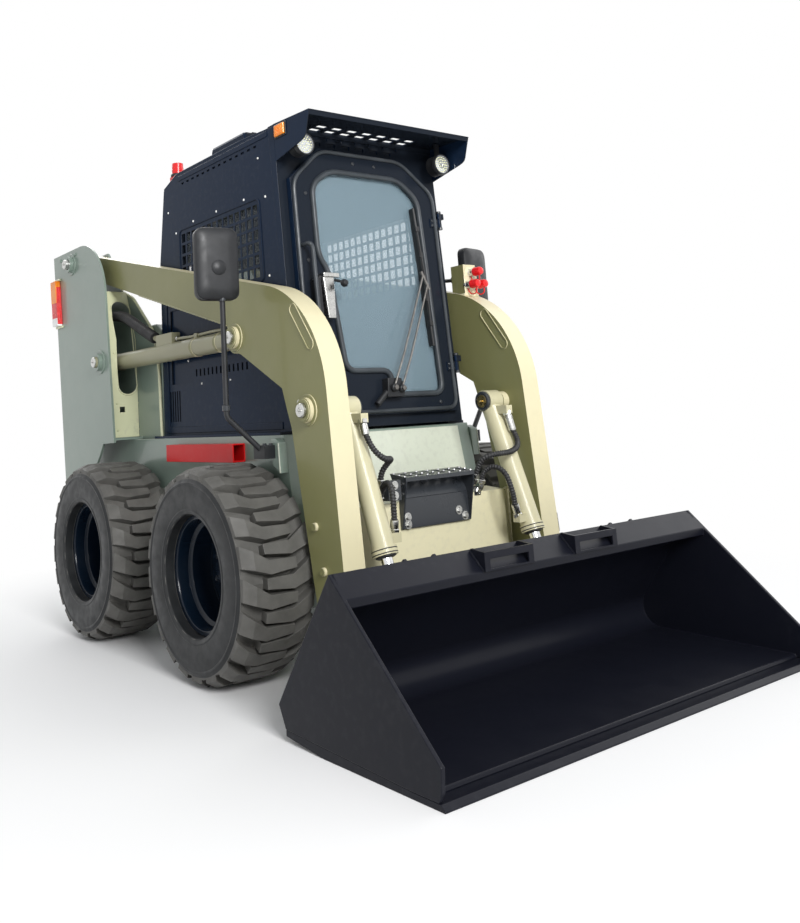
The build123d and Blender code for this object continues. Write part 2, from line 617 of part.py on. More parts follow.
# The cross plate stands between the arms, with its ends bent back to meet them.
CROSS_HALF = 395
CROSS_Y = (-770, -757)
CROSS_Z = (330, 630)
CROSS_END_Y = (-725, -712)
CROSS_SHELF = ((CROSS_Y[0], 618), (CROSS_Y[0], 630), (-668, 640), (-668, 628))
with BuildPart() as cross_member:
    block((-CROSS_HALF, CROSS_HALF), CROSS_Y, CROSS_Z)
    slab(CROSS_SHELF, -CROSS_HALF, CROSS_HALF)
    for _, side in SIDES:
        with BuildSketch(Plane.XY.offset(CROSS_Z[0])):
            with BuildLine():
                Polyline((side * CROSS_HALF, CROSS_Y[0]), (side * CROSS_HALF, CROSS_Y[1]),
                         (side * ARM_INNER, CROSS_END_Y[1]), (side * ARM_INNER, CROSS_END_Y[0]), close=True)
            make_face()
        extrude(amount=CROSS_Z[1] - CROSS_Z[0])
save(cross_member, "cross_member")

STEP_HALF = 175
STEP_TREAD = ((-728, 735), (-822, 722), (-822, 707), (-816, 707), (-815, 716), (-728, 728))
STEP_APRON = ((-771, 640), (-777, 640), (-783, 530), (-777, 530), (-771, 560))
STEP_RISER = ((-771, 636), (-777, 642), (-734, 729), (-728, 729))
STEP_CHEEK = ((-728, 735), (-822, 722), (-822, 707), (-783, 530), (-776, 530), (-772, 640))
STEP_SIDE = 6
TREAD_SLOT = (34, 18)
TREAD_SLOT_PITCH = (58, 32)
TREAD_SLOT_COUNT = (6, 2)
with BuildPart() as step:
    for outline in (STEP_TREAD, STEP_APRON, STEP_RISER):
        slab(outline, -STEP_HALF, STEP_HALF)
    for _, side in SIDES:
        slab(STEP_CHEEK, side * STEP_HALF, side * (STEP_HALF + STEP_SIDE))
    with BuildSketch(Plane.XY.offset(STEP_TREAD[3][1])):
        with Locations((0, (STEP_TREAD[0][0] + STEP_TREAD[1][0]) / 2)):
            with GridLocations(*TREAD_SLOT_PITCH, *TREAD_SLOT_COUNT):
                Rectangle(*TREAD_SLOT)
    extrude(amount=30, mode=Mode.SUBTRACT)
save(step, "step")

AUX_FRONT = -560
AUX_REAR = -480
AUX_TOP = 1618
COUPLING_LENGTH = 55
COUPLING_RADIUS = 15
# Couplings on the block: x from the arm's middle, z.
COUPLINGS = ((-24, 1523), (24, 1523), (0, 1580))


def arm_top(y):
    """Height of the arm's straight back at a y."""
    return ARM_CROWN_START[1] + ARM_TOP_SLOPE * (y - ARM_CROWN_START[0])


with BuildPart() as coupler_block:
    slab(((AUX_FRONT, arm_top(AUX_FRONT) + 2), (AUX_REAR, arm_top(AUX_REAR) + 2), (AUX_REAR, AUX_TOP),
          (AUX_FRONT, AUX_TOP)), ARM_INNER + 10, ARM_OUTER - 10)
    for x, z in COUPLINGS:
        with BuildSketch(Plane(origin=(ARM_MID + x, AUX_FRONT, z), z_dir=(0, -1, 0))):
            Circle(COUPLING_RADIUS)
        extrude(amount=COUPLING_LENGTH)
save(coupler_block, "coupler_block")

# ---------------------------------------------------------------- lift and tilt cylinders
LIFT_BARREL = 43
LIFT_ROD = 24
LIFT_GLAND_RADIUS = 47
TILT_BARREL = 42
TILT_ROD = 22
TILT_GLAND_RADIUS = 47
GLAND_LENGTH = 26

lift_length = math.dist(LIFT_BASE, LIFT_EYE)
LIFT_GLAND = lift_length - 78
tilt_length = math.dist(TILT_TOP, TILT_EYE)
TILT_GLAND = 551
LIFT_PORT = ((388, 555), (1340, 1399))
LIFT_PORT_HALF = 22
# Hard pipe along the top of a lift barrel, as (y, z).
LIFT_PIPE = ((392, 1368), (246, 1361), (20, 1366), (-86, 1362), (-110, 1340))
PIPE_RADIUS = 7
PIPE_CLIP = (160, 186)
# Stiff end of the fat hose that leads from the lift barrel's port back into the tower, as (y, z).
SLEEVE = ((612, 1394), (700, 1432))
SLEEVE_RADIUS = 28
SLEEVE_NECK = ((545, 1366), (610, 1393))
NECK_RADIUS = 12


def bends(points):
    """Radius of the arc at each inner point, for straight runs joined by tangent arcs."""
    radii = []
    for before, here, after in zip(points, points[1:], points[2:]):
        into, away = Vector(*here) - Vector(*before), Vector(*after) - Vector(*here)
        half_turn = math.radians(into.get_angle(away) / 2)
        radii.append(0.45 * min(into.length, away.length) / math.tan(half_turn))
    return radii


def tube(points, radius):
    """Round tube or hose through points in space: straight runs joined by tangent arcs."""
    with BuildLine() as route:
        FilletPolyline(*points, radius=bends(points))
    with BuildSketch(Plane(origin=points[0], z_dir=Vector(*points[1]) - Vector(*points[0]))) as section:
        Circle(radius)
    sweep(section.sketch, path=route.wires()[0])


with BuildPart() as lift_barrels:
    for _, side in SIDES:
        x = side * ARM_MID
        rod(between(LIFT_BASE, LIFT_EYE, 30), between(LIFT_BASE, LIFT_EYE, LIFT_GLAND), LIFT_BARREL, x)
        rod(between(LIFT_BASE, LIFT_EYE, LIFT_GLAND - GLAND_LENGTH), between(LIFT_BASE, LIFT_EYE, LIFT_GLAND + 2),
            LIFT_GLAND_RADIUS, x)
        block((x - LIFT_PORT_HALF, x + LIFT_PORT_HALF), *LIFT_PORT)
        block((x - 12, x + 12), PIPE_CLIP, (LIFT_BASE[1], LIFT_PIPE[1][1] + PIPE_RADIUS + 4))
        tube([(x, y, z) for y, z in LIFT_PIPE], PIPE_RADIUS)
        rod(*SLEEVE_NECK, NECK_RADIUS, x)
        rod(between(LIFT_BASE, LIFT_EYE, 90), between(LIFT_BASE, LIFT_EYE, LIFT_GLAND + 5), LIFT_ROD + 1, x,
            mode=Mode.SUBTRACT)
        round_bar(LIFT_BASE, 44, x - 30, x + 30)
        round_bar(LIFT_BASE, PIN_RADIUS, side * (TOWER_IN_INNER + 2), side * (TOWER_OUT + 36))
save(lift_barrels, "lift_barrels")

with BuildPart() as lift_hoses:
    for _, side in SIDES:
        rod(*SLEEVE, SLEEVE_RADIUS, side * ARM_MID)
save(lift_hoses, "lift_hoses")

with BuildPart() as lift_rods:
    for _, side in SIDES:
        x = side * ARM_MID
        rod(between(LIFT_BASE, LIFT_EYE, 400), LIFT_EYE, LIFT_ROD, x)
        round_bar(LIFT_EYE, EYE_RADIUS, x - 25, x + 25)
save(lift_rods, "lift_rods")

# Tilt cylinder ports: the upper one on the barrel's front, the lower one on its inner side.
TILT_UPPER_PORT = (-810, 955)
TILT_LOWER_PORT = (-890, 530)
PORT_RADIUS = 17
ELBOW_X = 325
CRIMP_RADIUS = 14
# Crimped hose ends on the barrels. Columns: side, port, start and end of the crimp.
CRIMPS = ((1, (384, -835, 950), (393, -850, 868)), (-1, (-384, -835, 950), (-385, -850, 893)),
          (1, (325, -905, 530), (301, -912, 582)), (-1, (-325, -905, 540), (-326, -912, 588)))

with BuildPart() as tilt_barrels:
    for _, side in SIDES:
        x = side * TILT_X
        rod(between(TILT_TOP, TILT_EYE, 30), between(TILT_TOP, TILT_EYE, TILT_GLAND), TILT_BARREL, x)
        rod(between(TILT_TOP, TILT_EYE, TILT_GLAND - GLAND_LENGTH), between(TILT_TOP, TILT_EYE, TILT_GLAND + 2),
            TILT_GLAND_RADIUS, x)
        block((x - PORT_RADIUS, x + PORT_RADIUS), (-850, -770), (938, 972))
        block((side * ELBOW_X - side * PORT_RADIUS, x), (-924, -890), (510, 544))
        rod(between(TILT_TOP, TILT_EYE, 60), between(TILT_TOP, TILT_EYE, TILT_GLAND + 5), TILT_ROD + 1, x,
            mode=Mode.SUBTRACT)
        round_bar(TILT_TOP, 45, x - TILT_EYE_HALF, x + TILT_EYE_HALF)
        round_bar(TILT_TOP, PIN_RADIUS, x - TILT_EYE_HALF, x + TILT_EYE_HALF, mode=Mode.SUBTRACT)
    for _, start, end in CRIMPS:
        along = Vector(*end) - Vector(*start)
        with BuildSketch(Plane(origin=start, z_dir=along)):
            Circle(CRIMP_RADIUS)
        extrude(amount=along.length)
save(tilt_barrels, "tilt_barrels")

# Hoses of the tilt cylinders, from just past their crimps to the fittings beside the step.
TILT_HOSE_RADIUS = 11
TILT_HOSES = (
    ((398, -868, 830), (375, -885, 800), (330, -890, 785), (280, -880, 782), (235, -860, 778), (212, -835, 760),
     (208, -815, 725), (208, -800, 700)),
    ((296, -915, 610), (285, -915, 650), (280, -903, 695), (270, -878, 725), (256, -848, 732), (246, -822, 718),
     (241, -806, 698), (240, -800, 675)),
    ((-375, -868, 850), (-355, -880, 820), (-320, -880, 800), (-283, -865, 800), (-272, -840, 790),
     (-290, -815, 756), (-288, -800, 718)),
    ((-326, -912, 600), (-328, -915, 640), (-322, -905, 690), (-312, -882, 712), (-306, -855, 715),
     (-300, -830, 700), (-296, -810, 678), (-294, -800, 655)),
)
with BuildPart() as tilt_hoses:
    for route in TILT_HOSES:
        tube(route, TILT_HOSE_RADIUS)
save(tilt_hoses, "tilt_hoses")
for route in TILT_HOSES:
    print("tilt hose bend radii", [round(r) for r in bends(route)])

with BuildPart() as tilt_rods:
    for _, side in SIDES:
        x = side * TILT_X
        rod(between(TILT_TOP, TILT_EYE, 180), TILT_EYE, TILT_ROD, x)
        round_bar(TILT_EYE, 36, x - 20, x + 20)
save(tilt_rods, "tilt_rods")

# ---------------------------------------------------------------- coupler and bucket
BACK_LOW = (-986, 103)
BACK_HIGH = (-1285, 517)


def back_wall(share, out=0):
    """Point on the bucket's outer back wall, share of the way up, moved out by a distance."""
    along = Vector(BACK_HIGH[0] - BACK_LOW[0], BACK_HIGH[1] - BACK_LOW[1]).normalized()
    point = Vector(*BACK_LOW) + Vector(BACK_HIGH[0] - BACK_LOW[0], BACK_HIGH[1] - BACK_LOW[1]) * share
    return point.X + along.Y * out, point.Y - along.X * out


with BuildPart() as coupler:
    for low, high in ((0.02, 0.16), (0.80, 0.95)):
        slab((back_wall(low), back_wall(high), back_wall(high, 14), back_wall(low, 14)), -582, 582)
    for _, side in SIDES:
        for x_from, x_to in ((ARM_INNER - 20, ARM_INNER - 8), (ARM_OUTER + 8, ARM_OUTER + 20)):
            slab((back_wall(0.02), back_wall(0.95), back_wall(0.95, 30), back_wall(0.55, 75),
                  (BUCKET_PIVOT[0] - 18, BUCKET_PIVOT[1] + 46), (BUCKET_PIVOT[0] - 12, BUCKET_PIVOT[1] - 48)),
                 side * x_from, side * x_to)
            round_bar(BUCKET_PIVOT, 50, side * x_from, side * x_to)
        for x_from, x_to in ((TILT_X - 36, TILT_X - 24), (TILT_X + 24, TILT_X + 36)):
            slab((back_wall(0.02), back_wall(0.78), back_wall(0.78, 14), (TILT_EYE[0] - 4, TILT_EYE[1] + 38),
                  (TILT_EYE[0] + 28, TILT_EYE[1] - 26), back_wall(0.02, 30)), side * x_from, side * x_to)
            round_bar(TILT_EYE, 38, side * x_from, side * x_to)
        round_bar(BUCKET_PIVOT, PIN_RADIUS - 1, side * (ARM_INNER - 20), side * (ARM_OUTER + 20))
save(coupler, "coupler")

BUCKET_SIDE = ((-1717, 102), (-1351, 452), BACK_HIGH, BACK_LOW, (-1020, 36), (-1600, 17), (-1700, 17), (-1712, 42))
with BuildPart() as bucket:
    for _, side in SIDES:
        slab(BUCKET_SIDE, side * (BUCKET_HALF - 14), side * BUCKET_HALF)
    with BuildSketch(Plane.YZ.offset(-BUCKET_HALF + 14)) as shell:
        with BuildLine():
            Polyline((-1656, 30), (-1660, 17), (-1600, 17), (-1020, 36), BACK_LOW, BACK_HIGH, (-1351, 452),
                     (-1346, 424), (-1232, 424), (-1046, 166))
            ThreePointArc((-1046, 166), (-1037, 90), (-1105, 45))
            Line((-1105, 45), (-1656, 30))
        make_face()
    extrude(shell.sketch, amount=2 * BUCKET_HALF - 28)
save(bucket, "bucket")

with BuildPart() as cutting_edge:
    slab(((-1721, 0), (-1721, 4), (-1706, 17), (-1560, 17), (-1560, 0)), -BUCKET_HALF, BUCKET_HALF)
save(cutting_edge, "cutting_edge")

LIP_BRACKET = (106, 336)
LIP_PLATE = ((-1359, 452), (-1359, 513), (-1352, 513), (-1352, 452))
LIP_GUSSET = ((-1352, 454), (-1291, 512), (-1297, 520), (-1352, 513))
LIP_OPENING = (25, 459, 490)
with BuildPart() as lip_brackets:
    for _, side in SIDES:
        slab(LIP_PLATE, side * LIP_BRACKET[0], side * LIP_BRACKET[1])
        block((side * (LIP_BRACKET[0] + LIP_OPENING[0]), side * (LIP_BRACKET[1] - LIP_OPENING[0])), (-1400, -1340),
              LIP_OPENING[1:], mode=Mode.SUBTRACT)
        for x, inward in zip(LIP_BRACKET, (12, -12)):
            slab(LIP_GUSSET, side * x, side * (x + inward))
save(lip_brackets, "lip_brackets")

# ---------------------------------------------------------------- lamps, mirrors, small bodywork
WORK_LIGHT = (384, -540, 2080)
with BuildPart() as work_lights:
    for _, side in SIDES:
        with Locations(Location((side * WORK_LIGHT[0], *WORK_LIGHT[1:]), (90, 0, 0))):
            Cylinder(42, 45)
        block((side * (WORK_LIGHT[0] - 12), side * (WORK_LIGHT[0] + 12)), (-546, -536), (WORK_LIGHT[2] + 30, 2181))
save(work_lights, "work_lights")

with BuildPart() as marker_lamps:
    for _, side in SIDES:
        block((side * CAB_HALF, side * (CAB_HALF + 12)), (-520, -450), (2130, 2178))
save(marker_lamps, "marker_lamps")


def roof_z(y):
    """Height of the roof's sloping rear strip at a y."""
    return ROOF_Z - (y - ROOF_BREAK[0]) * (ROOF_Z - ROOF_TAIL[1]) / (ROOF_TAIL[0] - ROOF_BREAK[0])


BEACON = (-390, 550, 2212)
with BuildPart() as beacon:
    slab(((520, roof_z(520)), (580, roof_z(580)), (580, BEACON[2]), (520, BEACON[2])), -420, -360)
    with Locations(BEACON):
        Cylinder(28, 68, align=(Align.CENTER, Align.CENTER, Align.MIN))
save(beacon, "beacon")

with BuildPart() as roof_box:
    slab(((-90, ROOF_Z), (-60, ROOF_Z + 83), (250, ROOF_Z + 83), (280, ROOF_Z)), -360, 360)
save(roof_box, "roof_box")

with BuildPart() as tail_lamps:
    for _, side in SIDES:
        slab(((tower_rear(1825) - 2, 1825), (tower_rear(1560) - 2, 1560), (tower_rear(1560) - 85, 1570),
              (tower_rear(1825) - 85, 1815)), side * TOWER_OUT, side * (TOWER_OUT + 30))
save(tail_lamps, "tail_lamps")

BRACE_TUBE = ((-185, 425), (800, 876))
with BuildPart() as brace_tube:
    block((-560, -TUB_HALF), *BRACE_TUBE)
    block((-554, -TUB_HALF - 6), (-190, 430), (806, 870), mode=Mode.SUBTRACT)
save(brace_tube, "brace_tube")

MIRROR_STALK = ((572, -430, 850), (700, -390, 985), (700, -390, 1484), (716, -392, 1560))
MIRROR_BEND = 40
STALK_RADIUS = 11
MIRROR_HEAD = (716, 1589, 178, 291)
MIRROR_CORNER = 34
MIRROR_Y = -378
MIRROR_THICK = 32
MIRROR_TURN = 10
for side_name, side in SIDES:
    stalk = [Vector(side * x, y, z) for x, y, z in MIRROR_STALK]
    with BuildPart() as wing_mirror:
        with BuildLine():
            FilletPolyline(*stalk, radius=MIRROR_BEND)
        with BuildSketch(Plane(origin=stalk[0], z_dir=stalk[1] - stalk[0])):
            Circle(STALK_RADIUS)
        sweep()
        turn = math.radians(side * MIRROR_TURN)
        with BuildSketch(Plane(origin=(side * MIRROR_HEAD[0], MIRROR_Y, MIRROR_HEAD[1]),
                               x_dir=(math.cos(turn), math.sin(turn), 0), z_dir=(math.sin(turn), -math.cos(turn), 0))):
            RectangleRounded(MIRROR_HEAD[2], MIRROR_HEAD[3], MIRROR_CORNER)
        extrude(amount=MIRROR_THICK / 2, both=True)
        block((side * TUB_HALF, side * 585), (-470, -390), (818, 868))
    save(wing_mirror, f"mirror_{side_name}")

TOW_BORE = 20
with BuildPart() as tow_eye:
    with BuildSketch(Plane.XY.offset(400)):
        with BuildLine():
            Polyline((-45, TUB_REAR + 6.2), (-45, TUB_REAR + 50), (45, TUB_REAR + 50), (45, TUB_REAR + 6.2), close=True)
        make_face()
        with Locations((0, TUB_REAR + 60)):
            Circle(45)
            Circle(TOW_BORE, mode=Mode.SUBTRACT)
    extrude(amount=24)
save(tow_eye, "tow_eye")
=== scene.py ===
"""Looks of the skid steer loader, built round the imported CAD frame. Metres, +Z up, the front faces -Y."""

import json
import math

import bmesh
import bpy
from mathutils import Matrix, Vector


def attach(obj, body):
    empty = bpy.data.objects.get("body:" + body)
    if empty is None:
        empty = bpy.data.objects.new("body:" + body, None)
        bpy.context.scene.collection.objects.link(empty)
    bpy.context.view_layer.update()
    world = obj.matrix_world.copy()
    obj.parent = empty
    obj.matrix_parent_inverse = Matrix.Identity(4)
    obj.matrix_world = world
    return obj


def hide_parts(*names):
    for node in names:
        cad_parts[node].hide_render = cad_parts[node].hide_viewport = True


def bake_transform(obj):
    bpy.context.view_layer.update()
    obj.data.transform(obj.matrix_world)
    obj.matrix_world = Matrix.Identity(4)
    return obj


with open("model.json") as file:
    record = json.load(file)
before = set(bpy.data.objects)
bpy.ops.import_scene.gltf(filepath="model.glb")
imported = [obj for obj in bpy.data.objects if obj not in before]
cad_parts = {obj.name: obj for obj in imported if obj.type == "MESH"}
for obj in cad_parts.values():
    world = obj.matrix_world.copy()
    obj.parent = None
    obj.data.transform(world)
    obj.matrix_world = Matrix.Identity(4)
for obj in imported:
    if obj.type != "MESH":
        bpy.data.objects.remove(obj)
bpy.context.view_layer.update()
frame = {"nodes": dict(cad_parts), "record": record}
nodes = frame["nodes"]
scene = bpy.context.scene

# Directions along X of the machine's two sides.
SIDES = {-1: "right", 1: "left"}

# ---------------- shader helpers
for plain in list(bpy.data.materials):
    bpy.data.materials.remove(plain)


def new_material(name):
    """An empty node material; returns its node tree and its Principled shader."""
    material = bpy.data.materials.new(name)
    material.use_nodes = True
    return material.node_tree, material.node_tree.nodes["Principled BSDF"]


def feed(tree, node, inputs):
    """Feeds a node's inputs, given by name or number, from sockets, numbers or tuples."""
    for key, value in inputs.items():
        socket = node.inputs[key]
        if isinstance(value, bpy.types.NodeSocket):
            tree.links.new(value, socket)
        elif isinstance(value, tuple):
            socket.default_value = (*value, 1)[:len(socket.default_value)]
        else:
            socket.default_value = value


def add_node(tree, kind, inputs=None, **settings):
    """Adds a shader node with its settings and its inputs."""
    node = tree.nodes.new(f"ShaderNode{kind}")
    for key, value in settings.items():
        setattr(node, key, value)
    feed(tree, node, inputs or {})
    return node


def noise(tree, scale, detail, stretch=(1, 1, 1)):
    """Noise in object space; returns its value socket."""
    place = add_node(tree, "TexCoord")
    mapping = add_node(tree, "Mapping", {"Vector": place.outputs["Object"], "Scale": stretch})
    texture = add_node(tree, "TexNoise", {"Vector": mapping.outputs["Vector"], "Scale": scale, "Detail": detail,
                                          "Roughness": 0.55})
    return texture.outputs["Fac"]


def spread(tree, value, start=0.35, end=0.65, low=0, high=1):
    """Maps a value from one range onto another, held at its ends."""
    return add_node(tree, "MapRange", {"Value": value, "From Min": start, "From Max": end,
                                       "To Min": low, "To Max": high}).outputs["Result"]


def mix_color(tree, factor, first, second):
    """Mixes two colours, each a tuple or a socket, by a factor socket."""
    node = add_node(tree, "Mix", {"Factor": factor, "A": first, "B": second}, data_type="RGBA")
    return node.outputs["Result"]


def calculate(tree, operation, *values):
    """Result of one operation on sockets or numbers."""
    return add_node(tree, "Math", dict(enumerate(values)), operation=operation).outputs["Value"]


def bump(tree, shader, height, strength, distance):
    """Bumps a shader by a height socket."""
    node = add_node(tree, "Bump", {"Height": height, "Strength": strength, "Distance": distance})
    feed(tree, shader, {"Normal": node.outputs["Normal"]})


def edge_wear(tree):
    """Mask of the sharp outer edges, where paint rubs thin."""
    return spread(tree, add_node(tree, "NewGeometry").outputs["Pointiness"], 0.53, 0.6)


def painted_light_mask(tree):
    """Mask of the faces that look along X, where painted light and shade change tone."""
    normal = add_node(tree, "NewGeometry").outputs["Normal"]
    parts = add_node(tree, "SeparateXYZ", {"Vector": normal})
    return spread(tree, calculate(tree, "ABSOLUTE", parts.outputs["X"]))


def darker(color, share):
    """A colour at a share of its brightness."""
    return tuple(c * share for c in color)


# ---------------- materials
def painted(name, color, rough=0.32, coat=0.4, dust=(0.42, 0.38, 0.32), dust_share=0.05, peel=0.03,
            wear=(0.3, 0.29, 0.27), wear_share=0.25, other=None, gloss=0.5):
    """Sprayed paint on steel: slow colour drift, thin dust, orange peel and rubbed edges. Where another
    colour is given, faces that don't look along X take it: painted light, set by which way a face is turned."""
    tree, shader = new_material(name)
    paint = mix_color(tree, spread(tree, noise(tree, 1.1, 2.0), 0.25, 0.75), color, darker(color, 0.95))
    # Painted light and shade: faces that don't look along X take the other tone.
    if other:
        paint = mix_color(tree, painted_light_mask(tree), other, paint)
    dusty = calculate(tree, "MULTIPLY", spread(tree, noise(tree, 11.0, 9.0), 0.5, 0.85), dust_share)
    patches = calculate(tree, "MULTIPLY", spread(tree, noise(tree, 38.0, 6.0), 0.5, 0.66), wear_share)
    rubbed = calculate(tree, "MULTIPLY", edge_wear(tree), patches)
    feed(tree, shader, {
        "Base Color": mix_color(tree, rubbed, mix_color(tree, dusty, paint, dust), wear),
        "Roughness": spread(tree, noise(tree, 9.0, 6.0), low=rough * 0.93, high=rough * 1.1),
        "Coat Weight": coat, "Coat Roughness": 0.08, "Specular IOR Level": gloss})
    if peel:
        bump(tree, shader, noise(tree, 420.0, 2.0), peel, 0.0006)


def metal(name, color, rough, grain=0.0):
    """Bare metal, with a faint drawn grain."""
    tree, shader = new_material(name)
    feed(tree, shader, {
        "Base Color": mix_color(tree, spread(tree, noise(tree, 60.0, 5.0)), color, darker(color, 0.82)),
        "Roughness": spread(tree, noise(tree, 90.0, 4.0), low=rough * 0.75, high=rough * 1.35),
        "Metallic": 1.0})
    if grain:
        bump(tree, shader, noise(tree, 300.0, 3.0, stretch=(1, 1, 14)), grain, 0.0004)


def moulded(name, color, rough, grain, gloss=0.5):
    """Moulded plastic or rubber with a fine grain."""
    tree, shader = new_material(name)
    light = tuple(min(1.0, c * 1.35 + 0.004) for c in color)
    feed(tree, shader, {
        "Base Color": mix_color(tree, spread(tree, noise(tree, 14.0, 6.0)), color, light),
        "Roughness": spread(tree, noise(tree, 24.0, 5.0), low=rough * 0.85, high=rough * 1.2),
        "Specular IOR Level": gloss})
    if grain:
        bump(tree, shader, noise(tree, 900.0, 2.0), grain, 0.0005)


def glazed(name, color, alpha):
    """Thin tinted pane: partly see-through, with a clear gloss."""
    tree, shader = new_material(name)
    feed(tree, shader, {
        "Base Color": mix_color(tree, spread(tree, noise(tree, 0.8, 1.0)), color, darker(color, 0.94)),
        "Roughness": 0.02, "Alpha": alpha, "IOR": 1.45})


DULL_PAINT = {"rough": 0.38, "coat": 0.15, "gloss": 0.35}
# Arms' sand paint: the dark olive tone on faces that look along X is painted shade, the pale tone on faces that
# look ahead and up is painted light.
painted("arm_paint", (0.208, 0.205, 0.086), other=(0.67, 0.615, 0.405), **DULL_PAINT)
# The arms' sand paint at a brighter painted lit tone, for the front-facing cross member and coupling plate.
painted("arm_paint_lit_tone", (0.79, 0.74, 0.5))
# The same sand paint at a painted lit tone, the tilt barrels' front-lit brightness on every side.
painted("barrel_paint_lit_tone", (0.56, 0.525, 0.345), **DULL_PAINT)
# The same sand paint darkened with painted shade, for the side-facing lift barrels.
painted("lift_paint_shaded_tone", (0.31, 0.3, 0.195), **DULL_PAINT)
painted("body_paint", (0.203, 0.264, 0.222))
# The body's sage paint at a painted lit tone, for the front-facing panel and the chassis corner strips.
painted("panel_paint_lit_tone", (0.63, 0.67, 0.56))
# Sand paint at a painted lit tone, for the front-facing tower covers and the trim that shares it.
painted("cover_paint", (0.68, 0.695, 0.455))
# Cab: one navy paint; the lighter grey tone on faces that don't look along X, front and visor underside, is painted
# reflection.
painted("cab_paint", (0.009, 0.02, 0.045), rough=0.16, coat=0.03, dust_share=0.004, wear_share=0.02, peel=0,
        other=(0.0125, 0.0165, 0.024), gloss=0.06)
# Bucket: black paint with a blue tint laid in as painted sheen, a reflection of the sky.
painted("bucket_paint", (0.0065, 0.0073, 0.0122), rough=0.34, coat=0.0, dust=(0.05, 0.05, 0.05),
        dust_share=0.02, wear=(0.1, 0.1, 0.11), wear_share=0.12, peel=0, gloss=0.17)
painted("rim_paint", (0.004, 0.009, 0.018), rough=0.22, coat=0.1, dust_share=0.01, peel=0, gloss=0.22)
painted("black_paint", (0.028, 0.032, 0.038), rough=0.28, coat=0.2, dust_share=0.01, wear_share=0.1, peel=0,
        gloss=0.45)
painted("red_paint", (0.56, 0.008, 0.009), rough=0.3, coat=0.1, dust_share=0.02, wear_share=0.05, gloss=0.15)
metal("chrome", (0.82, 0.83, 0.85), 0.1)
metal("zinc", (0.66, 0.66, 0.64), 0.28, 0.05)
metal("brass", (0.62, 0.47, 0.2), 0.3)
metal("iron", (0.2, 0.19, 0.18), 0.55, 0.3)
metal("worn_steel", (0.42, 0.42, 0.43), 0.38, 0.2)
metal("mirror_glass", (0.8, 0.83, 0.86), 0.03)
moulded("rubber", (0.013, 0.013, 0.014), 0.5, 0.1)
moulded("seal_rubber", (0.03, 0.036, 0.042), 0.4, 0.05, gloss=0.4)
moulded("tyre_rubber", (0.072, 0.07, 0.064), 0.6, 0.0)
moulded("sidewall_rubber", (0.01, 0.011, 0.012), 0.45, 0.0, gloss=0.32)
moulded("black_plastic", (0.013, 0.014, 0.016), 0.42, 0.1, gloss=0.35)
moulded("red_plastic", (0.6, 0.01, 0.012), 0.25, 0.03)
moulded("amber_plastic", (0.9, 0.24, 0.01), 0.2, 0.03)
moulded("white_plastic", (0.8, 0.8, 0.76), 0.3, 0.02)
moulded("led_yellow", (0.85, 0.8, 0.35), 0.2, 0.02)
moulded("seat_vinyl", (0.022, 0.022, 0.024), 0.5, 0.0)
glazed("pane", (0.27, 0.375, 0.435), 0.42)
glazed("side_pane", (0.55, 0.62, 0.66), 0.14)
glazed("clear_lens", (0.88, 0.9, 0.92), 0.25)

# Materials of the CAD nodes: by node, or else by slot. A slot that isn't listed has the material of its name.
NODE_MATERIALS = {
    "front_panel": "panel_paint_lit_tone", "cross_member": "arm_paint_lit_tone", "tilt_barrels": "barrel_paint_lit_tone",
    "lift_barrels": "lift_paint_shaded_tone", "brace_tube": "red_paint", "cutting_edge": "bucket_paint",
    "pivot_pins": "zinc", "tow_eye": "iron", "door_fittings": "black_plastic", "step": "black_paint",
    "cab_windows": "side_pane", "control_levers": "black_plastic",
}
SLOT_MATERIALS = {
    "chrome_rod": "chrome", "engine_iron": "iron", "exhaust_steel": "zinc", "window_glass": "pane",
    "seat_cover": "seat_vinyl", "lamp_lens": "black_plastic", "hose_rubber": "rubber",
}
for entry in frame["record"]["subparts"]:
    name, slot = entry["node"], entry["material_slot"]
    material = NODE_MATERIALS.get(name, SLOT_MATERIALS.get(slot, slot))
    nodes[name].data.materials.clear()
    nodes[name].data.materials.append(bpy.data.materials[material])

# ---------------- piece builders
SHARP_ANGLE = math.radians(32)
BOLT_TURN = 0.3
begun = []


def begin(name, material, body="machine", bevel=0.0):
    """Empty form of a piece, which is made at the end of the script."""
    form = bmesh.new()
    begun.append((name, form, material, body, bevel))
    return form


def piece(name, form, material, body, bevel=0.0):
    """Turns gathered faces into an object with its material, its finish and the body that it rides on."""
    bmesh.ops.recalc_face_normals(form, faces=form.faces)
    mesh = bpy.data.meshes.new(name)
    form.to_mesh(mesh)
    form.free()
    mesh.materials.append(bpy.data.materials[material])
    mesh.polygons.foreach_set("use_smooth", [True] * len(mesh.polygons))
    mesh.set_sharp_from_angle(angle=SHARP_ANGLE)
    made = bpy.data.objects.new(name, mesh)
    scene.collection.objects.link(made)
    if bevel:
        round_off(made, bevel)
    if body:
        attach(made, body)
    return made


def round_off(thing, width):
    """Rounds a thing's sharp edges."""
    bevel = thing.modifiers.new("bevel", "BEVEL")
    bevel.width = width
    bevel.segments = 2
    bevel.limit_method = "ANGLE"
    bevel.angle_limit = SHARP_ANGLE
    bevel.use_clamp_overlap = True
    normals = thing.modifiers.new("normals", "WEIGHTED_NORMAL")
    normals.keep_sharp = True


def pointing(origin, axis, roll=0.0):
    """Placement whose local Z runs along an axis from an origin."""
    turn = Vector(axis).to_track_quat("Z", "Y").to_matrix().to_4x4()
    return Matrix.Translation(origin) @ turn @ Matrix.Rotation(roll, 4, "Z")


def circle(count, radius, phase=0.0):
    """Evenly spaced points (x, y) of a circle; the phase is a share of their spacing."""
    angles = [2 * math.pi * (k + phase) / count for k in range(count)]
    return [(radius * math.cos(angle), radius * math.sin(angle)) for angle in angles]


